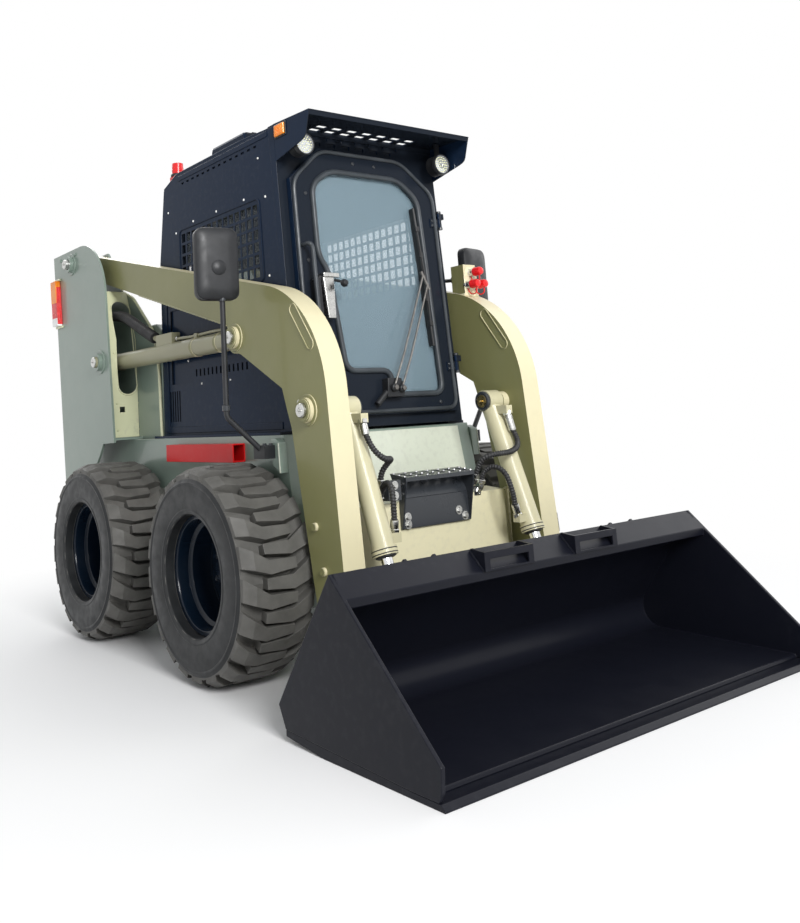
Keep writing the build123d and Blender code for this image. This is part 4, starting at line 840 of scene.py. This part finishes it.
# Tail lamps: two frame bars, an amber and a white lens, and ribs between them, as heights.
LAMP_BARS = ((1.548, 1.56), (1.825, 1.837))
AMBER_LENS = (1.694, 1.8245)
WHITE_LENS = (1.5605, 1.607)
frames = begin("tail_lamp_frames", "cover_paint", bevel=0.002)
amber = begin("tail_lamp_amber", "amber_plastic", bevel=0.003)
white = begin("tail_lamp_white", "white_plastic", bevel=0.003)
ribs = begin("tail_lamp_ribs", "red_plastic", bevel=0.0008)
for side in SIDES:
    for low, high in LAMP_BARS:
        y = tower_rear((low + high) / 2)
        add_box(frames, (side * (TOWER_OUT + 0.0005), y - 0.098, low),
                (side * (TOWER_OUT + 0.012), y - 0.001, high))
    for form, (low, high) in ((amber, AMBER_LENS), (white, WHITE_LENS)):
        corners = [(tower_rear(z) - inset, z)
                   for z, inset in ((low, 0.003), (high, 0.003), (high, 0.084), (low, 0.084))]
        add_prism(form, corners, side * (TOWER_OUT + 0.001), side * (TOWER_OUT + 0.0315), ALONG_X)
    for k in range(5):
        z = 1.617 + k * 0.0165
        add_box(ribs, (side * (TOWER_OUT + 0.0295), tower_rear(z) - 0.078, z),
                (side * (TOWER_OUT + 0.0315), tower_rear(z) - 0.01, z + 0.004))

# ---------------- chassis
# Folded corner plates beside the front panel, in the side view.
CORNER_PLATE = ((-0.5044, 0.76), (-0.498, 0.878), (-0.47, 0.893), (-0.44, 0.893), (-0.4455, 0.79))
CORNER_STRIP = ((-0.5059, 0.762), (-0.4995, 0.876), (-0.493, 0.876), (-0.4994, 0.762))
bolts = begin("chassis_bolts", "zinc")
plates = begin("chassis_corners", "body_paint", bevel=0.003)
strips = begin("chassis_edge_strips", "panel_paint_lit_tone", bevel=0.0015)
for side in SIDES:
    for y in (-0.05, 0.2, 0.45):
        add_bolt(bolts, (side * 0.5, y, 0.855), (side, 0, 0), 0.01)
    for axle_y in AXLES.values():
        for y, z in circle(8, 0.078, 0.5):
            add_bolt(bolts, (side * 0.514, axle_y + y, AXLE_Z + z), (side, 0, 0), 0.009)
    add_prism(plates, CORNER_PLATE, side * 0.5005, side * 0.536, ALONG_X)
    add_prism(strips, CORNER_STRIP, side * 0.5365, side * 0.54, ALONG_X)

# ---------------- engine bay
REAR_DOOR_INSET = 0.03
louvres = begin("rear_door_louvres", "black_paint", "rear_door")
handle = begin("rear_door_handle", "black_paint", "rear_door", 0.002)
for row in range(10):
    z = 0.96 + row * 0.044
    y = tower_rear(z) - REAR_DOOR_INSET
    slat = ((y - 0.03, z + 0.008), (y - 0.027, z + 0.011), (y + 0.002, z - 0.007), (y - 0.001, z - 0.01))
    for x in (-0.17, 0.17):
        add_prism(louvres, slat, x - 0.152, x + 0.152, ALONG_X)
y = tower_rear(0.86) - REAR_DOOR_INSET
add_box(handle, (0.345, y - 0.002, 0.8), (0.415, y + 0.006, 0.9))
add_bent(handle, ((0.38, y + 0.005, 0.82), (0.38, y + 0.034, 0.828), (0.38, y + 0.03, 0.872),
                  (0.38, y + 0.002, 0.88)), 0.012, 0.007)
for x in (-0.38, 0.38):
    for z in (0.68, 1.43):
        add_bolt(handle, (x, tower_rear(z) - REAR_DOOR_INSET, z), (0, 1, -0.12), 0.009)

EXHAUST = (0.25, 0.9, 1.48)
hood = begin("hood_trim", "body_paint", bevel=0.0015)
exhaust = begin("exhaust_rings", "worn_steel")
engine = begin("engine_ribs", "iron", bevel=0.004)
for x in (-0.36, 0.36):
    for y in (0.8, 1.3):
        add_screw(hood, (x, y, 1.48), (0, 0, 1), 0.011)
for x in (-0.14, 0.0, 0.14):
    for k in range(8):
        y = 1.02 + k * 0.035
        add_box(hood, (x - 0.055, y, 1.48), (x + 0.055, y + 0.01, 1.4855))
add_lathe(exhaust, ((0.026, 0.2), (0.026, 0.221), (0.0325, 0.221), (0.0335, 0.212), (0.0325, 0.2)),
          Matrix.Translation(EXHAUST))
for z in (0.05, 0.12, 0.185):
    add_collar(exhaust, Matrix.Translation(EXHAUST), 0.0302, 0.0345, z, z + 0.01)
for x, y in circle(6, 0.038):
    add_bolt(exhaust, (EXHAUST[0] + x, EXHAUST[1] + y, 1.51), (0, 0, 1), 0.005)
for k in range(5):
    y = 0.8 + k * 0.11
    for side in SIDES:
        add_box(engine, (side * 0.12, y, 1.182), (side * 0.255, y + 0.06, 1.205))
add_stud(engine, pointing((0, 1.05, 1.18), (0, 0, 1)), 0.11, 0.09, 0, 0.05, 0.055, steps=36)
for z in (0.55, 0.8, 1.05):
    add_box(engine, (-0.275, 0.8, z), (0.275, 1.32, z + 0.03))


# ---------------- lift cylinders
def axis_of(start, end):
    """Direction between two points (y, z) of the side view."""
    return Vector((0, end[0] - start[0], end[1] - start[1])).normalized()


def add_gland_seal(form, place, bore, outer, neck):
    """Wiper seal round a rod, on the face of its gland."""
    add_lathe(form, ((bore, 0.002), (outer, 0.002), (outer, 0.006), (neck, 0.01), (bore, 0.01)), place)


LIFT_AXIS = axis_of(LIFT_BASE, LIFT_EYE)
LIFT_GLAND = 1.205
# Nuts of the hard pipe: place (y, z), direction (y, z), bore, radius, length.
PIPE_NUTS = (
    ((0.55, 1.368), (0.916, 0.4), 0.013, 0.0165, 0.016),
    ((0.382, 1.3677), (-1, 0), 0.0085, 0.0115, 0.014),
    ((-0.098, 1.352), (-0.74, -0.67), 0.0085, 0.0115, 0.014),
)
seal = begin("lift_gland_seals", "rubber", "lift_barrels")
fittings = begin("lift_fittings", "zinc", "lift_barrels")
straps = begin("lift_straps", "arm_paint", "lift_barrels")
for side in SIDES:
    start = Vector((side * ARM_MID, *LIFT_BASE))
    gland = pointing(start + LIFT_AXIS * LIFT_GLAND, LIFT_AXIS)
    add_gland_seal(seal, gland, 0.0255, 0.04, 0.03)
    for at in (-0.005, -0.021):
        add_collar(fittings, gland, 0.0472, 0.0492, at, at + 0.006)
    for at in (0.87, 1.09):
        place = pointing(start + LIFT_AXIS * at, LIFT_AXIS)
        add_collar(straps, place, 0.0432, 0.0452, -0.01, 0.01, steps=36)
    for spot, heading, bore, radius, length in PIPE_NUTS:
        place = pointing((side * ARM_MID, *spot), (0, *heading))
        add_collar(fittings, place, bore, radius, 0, length, 0.002, 6)

# Fat ridged sleeve from the stiff end on the barrel back into the tower.
SLEEVE_ROUTE = ((0.612, 1.394), (0.7, 1.43), (0.792, 1.468), (0.899, 1.515), (0.99, 1.545), (1.09, 1.56))
for side, side_name in SIDES.items():
    form = bmesh.new()
    path = rounded([(side * ARM_MID, y, z) for y, z in SLEEVE_ROUTE], 0.06)
    add_tube(form, resampled(path, 0.0022), 0.026, 18, ridge=0.003, pitch=0.011)
    sleeve = piece(f"lift_sleeve_{side_name}", form, "rubber", None)
    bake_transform(sleeve)
    if side < 0:
        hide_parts("lift_hoses")

# ---------------- tilt cylinders and their hoses
TILT_AXIS = axis_of(TILT_TOP, TILT_EYE)
TILT_GLAND = 0.551
# Crimped hose ends: start and end.
CRIMPS = (((0.384, -0.835, 0.95), (0.393, -0.85, 0.868)), ((-0.384, -0.835, 0.95), (-0.385, -0.85, 0.893)),
          ((0.325, -0.905, 0.53), (0.301, -0.912, 0.582)), ((-0.325, -0.905, 0.54), (-0.326, -0.912, 0.588)))
seal = begin("tilt_gland_seals", "rubber", "tilt_barrels")
brass = begin("tilt_pin_nipples", "brass", "lift_arms")
bush = begin("tilt_bushes", "black_paint", "lift_arms")
steel = begin("tilt_crimps", "zinc", "tilt_barrels")
for side in SIDES:
    gland = pointing(Vector((side * TILT_X, *TILT_TOP)) + TILT_AXIS * TILT_GLAND, TILT_AXIS)
    add_gland_seal(seal, gland, 0.0235, 0.038, 0.029)
    for at in (-0.006, -0.02):
        add_collar(seal, gland, 0.0471, 0.0478, at, at + 0.004)
    inward = pointing((side * 0.347, *TILT_TOP), (-side, 0, 0))
    add_lathe(bush, ((0.028, 0), (0.041, 0), (0.041, 0.008), (0.036, 0.012), (0.028, 0.012)), inward)
    add_lathe(brass, ((0.0265, 0.01), (0.0265, 0.0135), (0.008, 0.014), (0, 0.014)), inward)
    add_lathe(brass, ((0.005, 0.013), (0.005, 0.019), (0.003, 0.021), (0.0038, 0.0245), (0, 0.026)), inward, 10)
for start, end in CRIMPS:
    along = Vector(end) - Vector(start)
    place = pointing(start, along)
    add_lathe(steel, ((0.019, 0.001), (0.019, 0.016), (0.016, 0.019), (0.015, 0.019)), place, 6)
    tip = along.length
    add_lathe(steel, ((0.015, 0.019), (0.0158, 0.022), (0.0158, tip - 0.004), (0.0148, tip), (0, tip)), place, 24)

# Routes of the guarded hoses: from their crimps to the fittings beside the step.
TILT_ROUTES = (
    ((0.393, -0.85, 0.872), (0.398, -0.868, 0.83), (0.375, -0.885, 0.8), (0.33, -0.89, 0.785),
     (0.28, -0.88, 0.782), (0.235, -0.86, 0.778), (0.212, -0.835, 0.76), (0.208, -0.815, 0.725),
     (0.208, -0.8, 0.7)),
    ((0.301, -0.912, 0.578), (0.296, -0.915, 0.61), (0.285, -0.915, 0.65), (0.28, -0.903, 0.695),
     (0.27, -0.878, 0.725), (0.256, -0.848, 0.732), (0.246, -0.822, 0.718), (0.241, -0.806, 0.698),
     (0.24, -0.8, 0.675)),
    ((-0.385, -0.85, 0.897), (-0.375, -0.868, 0.85), (-0.355, -0.88, 0.82), (-0.32, -0.88, 0.8),
     (-0.283, -0.865, 0.8), (-0.272, -0.84, 0.79), (-0.29, -0.815, 0.756), (-0.288, -0.8, 0.718)),
    ((-0.326, -0.912, 0.584), (-0.326, -0.912, 0.6), (-0.328, -0.915, 0.64), (-0.322, -0.905, 0.69),
     (-0.312, -0.882, 0.712), (-0.306, -0.855, 0.715), (-0.3, -0.83, 0.7), (-0.296, -0.81, 0.678),
     (-0.294, -0.8, 0.655)),
)
for number, route in enumerate(TILT_ROUTES):
    form = bmesh.new()
    add_tube(form, resampled(rounded(route, 0.035, 6), 0.002), 0.0097, 16, ridge=0.0024, pitch=0.0105)
    hose = piece(f"tilt_hose_{number + 1}", form, "rubber", None)
    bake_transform(hose)
    if number == 0:
        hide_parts("tilt_hoses")

# ---------------- cross plate and step
# Elbows that take the hoses' ends, then the small manifold with its bolts and pipes.
PLATE_FACE = -0.7705
MANIFOLD_FRONT = -0.812
steel = begin("cross_plate_fittings", "zinc", "lift_arms")
dark = begin("cross_plate_manifold", "black_paint", "lift_arms", 0.003)
for route in TILT_ROUTES:
    x, y, z = route[-1]
    foot = z - 0.04
    add_collar(steel, pointing((x, y, z + 0.004), (0, 0.25, -1)), 0.0135, 0.016, -0.003, 0.015, 0.003, 6)
    add_bent(steel, ((x, y, z), (x, y + 0.004, z - 0.03), (x, y + 0.03, foot)), 0.018, 0.0095, 12)
    add_collar(steel, pointing((x, PLATE_FACE, foot), (0, -1, 0)), 0.0125, 0.0155, 0, 0.012, 0.002, 6)
    add_box(dark, (x - 0.018, PLATE_FACE - 0.001, foot - 0.018), (x + 0.018, PLATE_FACE, foot + 0.018))
add_box(dark, (-0.262, MANIFOLD_FRONT, 0.642), (-0.2, PLATE_FACE - 0.001, 0.716))
for z in (0.66, 0.698):
    add_bolt(steel, (-0.231, MANIFOLD_FRONT, z), (0, -1, 0), 0.011)
    add_bent(steel, ((-0.2, -0.792, z), (-0.18, -0.792, z), (-0.18, -0.775, z)), 0.01, 0.0075)

bolts = begin("step_bolts", "zinc", "lift_arms")
teeth = begin("step_teeth", "worn_steel", "lift_arms")
for x, z in ((-0.15, 0.572), (0.118, 0.572), (-0.15, 0.545), (0.15, 0.548)):
    add_bolt(bolts, (x, -0.7815, z), (0, -1, 0.05), 0.0115)
for column in range(7):
    for row in range(3):
        x, y = -0.174 + column * 0.058, -0.807 + row * 0.032
        tread = 0.735 + (y + 0.728) * (0.013 / 0.094)
        add_lathe(teeth, ((0.0065, 0), (0.0055, 0.003), (0.0045, 0.0035), (0, 0.0035)),
                  Matrix.Translation((x, y, tread)), 10)

# ---------------- bucket and coupler
BUCKET_HALF = 0.884
BACK_LOW = Vector((-0.986, 0.103))
BACK_HIGH = Vector((-1.285, 0.517))
BACK_ALONG = (BACK_HIGH - BACK_LOW).normalized()
BACK_OUT = Vector((BACK_ALONG.y, -BACK_ALONG.x))
# Cross-section of a stiffening strip, along and out from the bucket's back.
STRIP = ((-0.02, -0.001), (0.02, -0.001), (0.014, 0.004), (-0.014, 0.004))
SKID = ((-1.598, 0.0), (-1.598, 0.0172), (-1.022, 0.0362), (-1.022, 0.018), (-1.2, 0.0005))
# Beads on the outside of each bucket side, in the side view.
SIDE_BEADS = (((-1.29, 0.508), (-0.992, 0.112)), ((-1.345, 0.45), (-1.287, 0.514)),
              ((-1.03, 0.041), (-1.6, 0.022)))
strips = begin("bucket_strips", "bucket_paint", "bucket", 0.0012)
skids = begin("bucket_skids", "bucket_paint", "bucket", 0.001)
welds = begin("bucket_welds", "bucket_paint", "bucket")
bolts = begin("cutting_edge_bolts", "worn_steel", "bucket")
heads = begin("coupler_pin_heads", "iron", "bucket")
washers = begin("tilt_eye_washers", "worn_steel", "bucket")
for share in (0.3, 0.62):
    base = BACK_LOW.lerp(BACK_HIGH, share)
    corners = [base + BACK_ALONG * along + BACK_OUT * out for along, out in STRIP]
    add_prism(strips, corners, -BUCKET_HALF, BUCKET_HALF, ALONG_X)
for side in SIDES:
    add_prism(skids, SKID, side * 0.88, side * 0.8995, ALONG_X)
    for start, end in SIDE_BEADS:
        add_bead(welds, (side * 0.885, *start), (side * 0.885, *end), 0.006, 0.0032, pitch=0.008)
    for x in (0.106, 0.336):
        add_bead(welds, (side * x, -1.352, 0.4535), (side * x, -1.295, 0.5125), ridge=0.001)
add_bead(welds, (-BUCKET_HALF, -1.561, 0.0175), (BUCKET_HALF, -1.561, 0.0175), 0.006, 0.003, 0.001, 0.008)
for x in (-0.78, -0.52, -0.26, 0.0, 0.26, 0.52, 0.78):
    add_stud(bolts, pointing((x, -1.63, 0.0172), (0, 0, 1)), 0.0165, 0.013, 0, 0.005, 0.008)
for side in SIDES:
    place = from_side(side, 0.58, BUCKET_PIVOT)
    add_ring_plate(heads, place, 0.042, 0.028, 0.006)
    add_pin_head(heads, place)
    add_bolt(heads, (side * 0.58, BUCKET_PIVOT[0] - 0.062, BUCKET_PIVOT[1] + 0.02), (side, 0, 0), 0.009)
    for x, toward in ((0.348, -1), (0.42, 1)):
        add_ring_plate(heads, from_side(side, x, TILT_EYE), 0.034, 0.02, 0.004)
        place = pointing((side * x, *TILT_EYE), (side * toward, 0, 0))
        add_stud(heads, place, 0.0195, 0.016, -0.002, 0.007, 0.01, steps=28)
    for dx in (-0.0215, 0.0215):
        add_lathe(washers, ((0.0365, -0.0012), (0.0365, 0.0012), (0.022, 0.0016), (0.022, -0.0016)),
                  pointing((side * (TILT_X + dx), *TILT_EYE), (1, 0, 0)), 28)


# ---------------- seat and controls
def power(value, exponent):
    """A number's power that keeps its sign."""
    return math.copysign(abs(value) ** exponent, value)


def hump(value, middle, height, width):
    """Height at a value of a smooth hump."""
    return height * math.exp(-((value - middle) / width) ** 2)


# Shape of a cushion, in shares of its half sizes: exponents of its corners, edge and crown, pull of its sides,
# and height and width of its sewn channels and of the seam round it.
SQUARENESS = 0.32
EDGE = 0.45
CROWN = 0.62
SIDE_PULL = 0.05
CHANNEL = (0.1, 0.035)
SEAM = (0.025, 0.07)
SEAM_HEIGHT = 0.25


def add_cushion(form, size, place, channels, around=56, up=28):
    """Crowned closed cushion: a squared-off ball whose top sinks along its sewn channels, given as
    (axis, place), where axis 0 is local x and axis 1 local y."""
    rings = []
    for j in range(1, up):
        b = math.pi * (j / up - 0.5)
        flat = power(math.cos(b), EDGE)
        height = power(math.sin(b), CROWN)
        seam = 1 - hump(height, SEAM_HEIGHT, *SEAM)
        ring = []
        for a in (2 * math.pi * i / around for i in range(around)):
            x, y = power(math.cos(a), SQUARENESS) * flat, power(math.sin(a), SQUARENESS) * flat
            pull = (1 - SIDE_PULL * ((1 - abs(x)) * abs(y) + (1 - abs(y)) * abs(x))) * seam
            sink = sum(hump((x, y)[axis], at, *CHANNEL) for axis, at in channels)
            z = height - sink * max(0.0, min(1.0, 3 * height))
            ring.append(form.verts.new(place @ Vector((x * size[0] * pull, y * size[1] * pull, z * size[2]))))
        rings.append(ring)
    skin(form, rings)
    form.faces.new(rings[0][::-1])
    form.faces.new(rings[-1])


form = bmesh.new()
add_box(form, (-0.19, 0.06, 0.5722), (0.19, 0.44, 0.88))
add_box(form, (-0.205, 0.02, 0.862), (0.205, 0.45, 0.882))
seat_base = piece("seat_base", form, "black_plastic", "machine", 0.012)
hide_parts("seat")
BACK_LEAN = (Matrix.Translation((0, 0.447, 1.255)) @ Matrix.Rotation(math.radians(-76), 4, "X")
             @ Matrix.Rotation(math.pi, 4, "Z"))
CUSHIONS = (
    # name, half sizes, placement, channels
    ("seat_cushion", (0.238, 0.285, 0.056), Matrix.Translation((0, 0.15, 0.942)),
     ((0, -0.55), (0, 0.55), (1, -0.3), (1, 0.3))),
    ("seat_back", (0.222, 0.29, 0.055), BACK_LEAN, ((0, -0.55), (0, 0.55), (1, -0.45), (1, 0.05), (1, 0.55))),
)
for name, size, place, channels in CUSHIONS:
    form = bmesh.new()
    add_cushion(form, size, place, channels)
    cushion = piece(name, form, "seat_vinyl", "machine")

# Levers: ridged boots, grips with a button on top.
BOOT_RIDGES = [(0.04 - k * 0.0026 + (0.004 if k % 2 else 0), k * 0.008) for k in range(9)]
GRIP = ((0, 0), (0.017, 0.002), (0.0205, 0.012), (0.019, 0.028), (0.022, 0.042), (0.0205, 0.052),
        (0.012, 0.0565), (0, 0.057))
GRIP_AXIS = (0, -0.22, 1)
boot = begin("lever_boots", "rubber")
grip = begin("lever_grips", "black_plastic")
button = begin("lever_buttons", "red_plastic")
for side in SIDES:
    x = side * 0.328
    add_lathe(boot, ((0, 0), *BOOT_RIDGES, (0.01, 0.072), (0, 0.072)),
              pointing((x, -0.028, 0.9055), (0, -0.12, 1)), 28)
    add_lathe(grip, GRIP, pointing((x, -0.084, 1.096), GRIP_AXIS), 24)
    add_stud(button, pointing((x, -0.0965, 1.1515), GRIP_AXIS), 0.006, 0.004, 0, 0.003, 0.0045, steps=14)

# Ribbed mat on the cab's floor.
form = begin("cab_floor_mat", "rubber", bevel=0.0012)
add_box(form, (-0.36, -0.4, 0.572), (0.36, -0.12, 0.578))
for k in range(12):
    x = -0.33 + k * 0.06
    add_box(form, (x - 0.012, -0.39, 0.578), (x + 0.012, -0.13, 0.581))

# ---------------- pieces
for parts in begun:
    piece(*parts)

# ---------------- camera
CAMERA_PLACE = (-2.527, -3.558, 0.972)
CAMERA_YAW = -0.6268
CAMERA_PITCH = 0.1667
CAMERA_ROLL = -0.0559
# Focal length over the image's longer side, both in pixels of the same image.
FOCAL_SHARE = 924.4 / 923
SHIFT = (0.0914, -0.2183)


def look(yaw, pitch, roll):
    """Rotation of a camera that looks along +Y, turned by yaw, raised by pitch and rolled."""
    forward = Vector((-math.sin(yaw) * math.cos(pitch), math.cos(yaw) * math.cos(pitch), math.sin(pitch)))
    right = Vector((math.cos(yaw), math.sin(yaw), 0))
    up = right.cross(forward)
    level_right = right * math.cos(roll) + up * math.sin(roll)
    level_up = up * math.cos(roll) - right * math.sin(roll)
    return Matrix((level_right, level_up, -forward)).transposed().to_4x4()


camera_data = bpy.data.cameras.new("camera")
camera = bpy.data.objects.new("camera", camera_data)
scene.collection.objects.link(camera)
camera.matrix_world = Matrix.Translation(CAMERA_PLACE) @ look(CAMERA_YAW, CAMERA_PITCH, CAMERA_ROLL)
camera_data.lens = camera_data.sensor_width * FOCAL_SHARE
camera_data.shift_x, camera_data.shift_y = SHIFT
camera_data.clip_end = 200
scene.camera = camera


# ---------------- floor, surround and lamps
def background_white(tree, shader_socket, emitter, output, share=None):
    """Shows plain white to the camera and in reflections, by a share when given. Other rays meet the shader."""
    rays = add_node(tree, "LightPath").outputs
    white = add_node(tree, emitter, {"Color": (1, 1, 1), "Strength": 1.0})
    seen = rays["Is Camera Ray"]
    for ray in ("Is Glossy Ray", "Is Transmission Ray"):
        seen = calculate(tree, "MAXIMUM", seen, rays[ray])
    if share:
        seen = calculate(tree, "MULTIPLY", seen, share)
    mixer = add_node(tree, "MixShader", {"Fac": seen, 1: shader_socket, 2: white.outputs[0]})
    feed(tree, tree.nodes[output], {"Surface": mixer.outputs["Shader"]})


FLOOR_FADE = (1.3, 3.2)
bpy.ops.mesh.primitive_plane_add(size=90, location=(0, 0, -0.0005))
floor = bpy.context.object
floor.name = "floor"
floor_tree, floor_shader = new_material("floor_white")
feed(floor_tree, floor_shader, {"Base Color": (0.9, 0.9, 0.9), "Roughness": 0.7})
position = add_node(floor_tree, "NewGeometry").outputs["Position"]
distance = add_node(floor_tree, "VectorMath", {0: position}, operation="LENGTH").outputs["Value"]
background_white(floor_tree, floor_shader.outputs["BSDF"], "Emission", "Material Output",
                 spread(floor_tree, distance, *FLOOR_FADE))
floor.data.materials.append(bpy.data.materials["floor_white"])

scene.world = bpy.data.worlds.new("studio")
scene.world.use_nodes = True
world_tree = scene.world.node_tree
background = world_tree.nodes["Background"]
feed(world_tree, background, {"Color": (0.95, 0.97, 1.0), "Strength": 0.48})
background_white(world_tree, background.outputs["Background"], "Background", "World Output")

LAMPS = (
    # name, place, size, power, aim
    ("key", (-2.4, -8.2, 4.6), 3.0, 730, (0, -0.3, 0.9)),
    ("side", (6.0, -1.5, 4.5), 5.0, 100, (0, 0, 0.8)),
    ("back", (1.0, 6.5, 6.0), 5.0, 220, (0, 0.5, 1.0)),
)
for name, place, size, watts, aim in LAMPS:
    light_data = bpy.data.lights.new(name, "AREA")
    light_data.size = size
    light_data.energy = watts
    light = bpy.data.objects.new(name, light_data)
    light.location = place
    light.rotation_euler = (Vector(place) - Vector(aim)).to_track_quat("Z", "Y").to_euler()
    scene.collection.objects.link(light)

scene.view_settings.view_transform = "Standard"
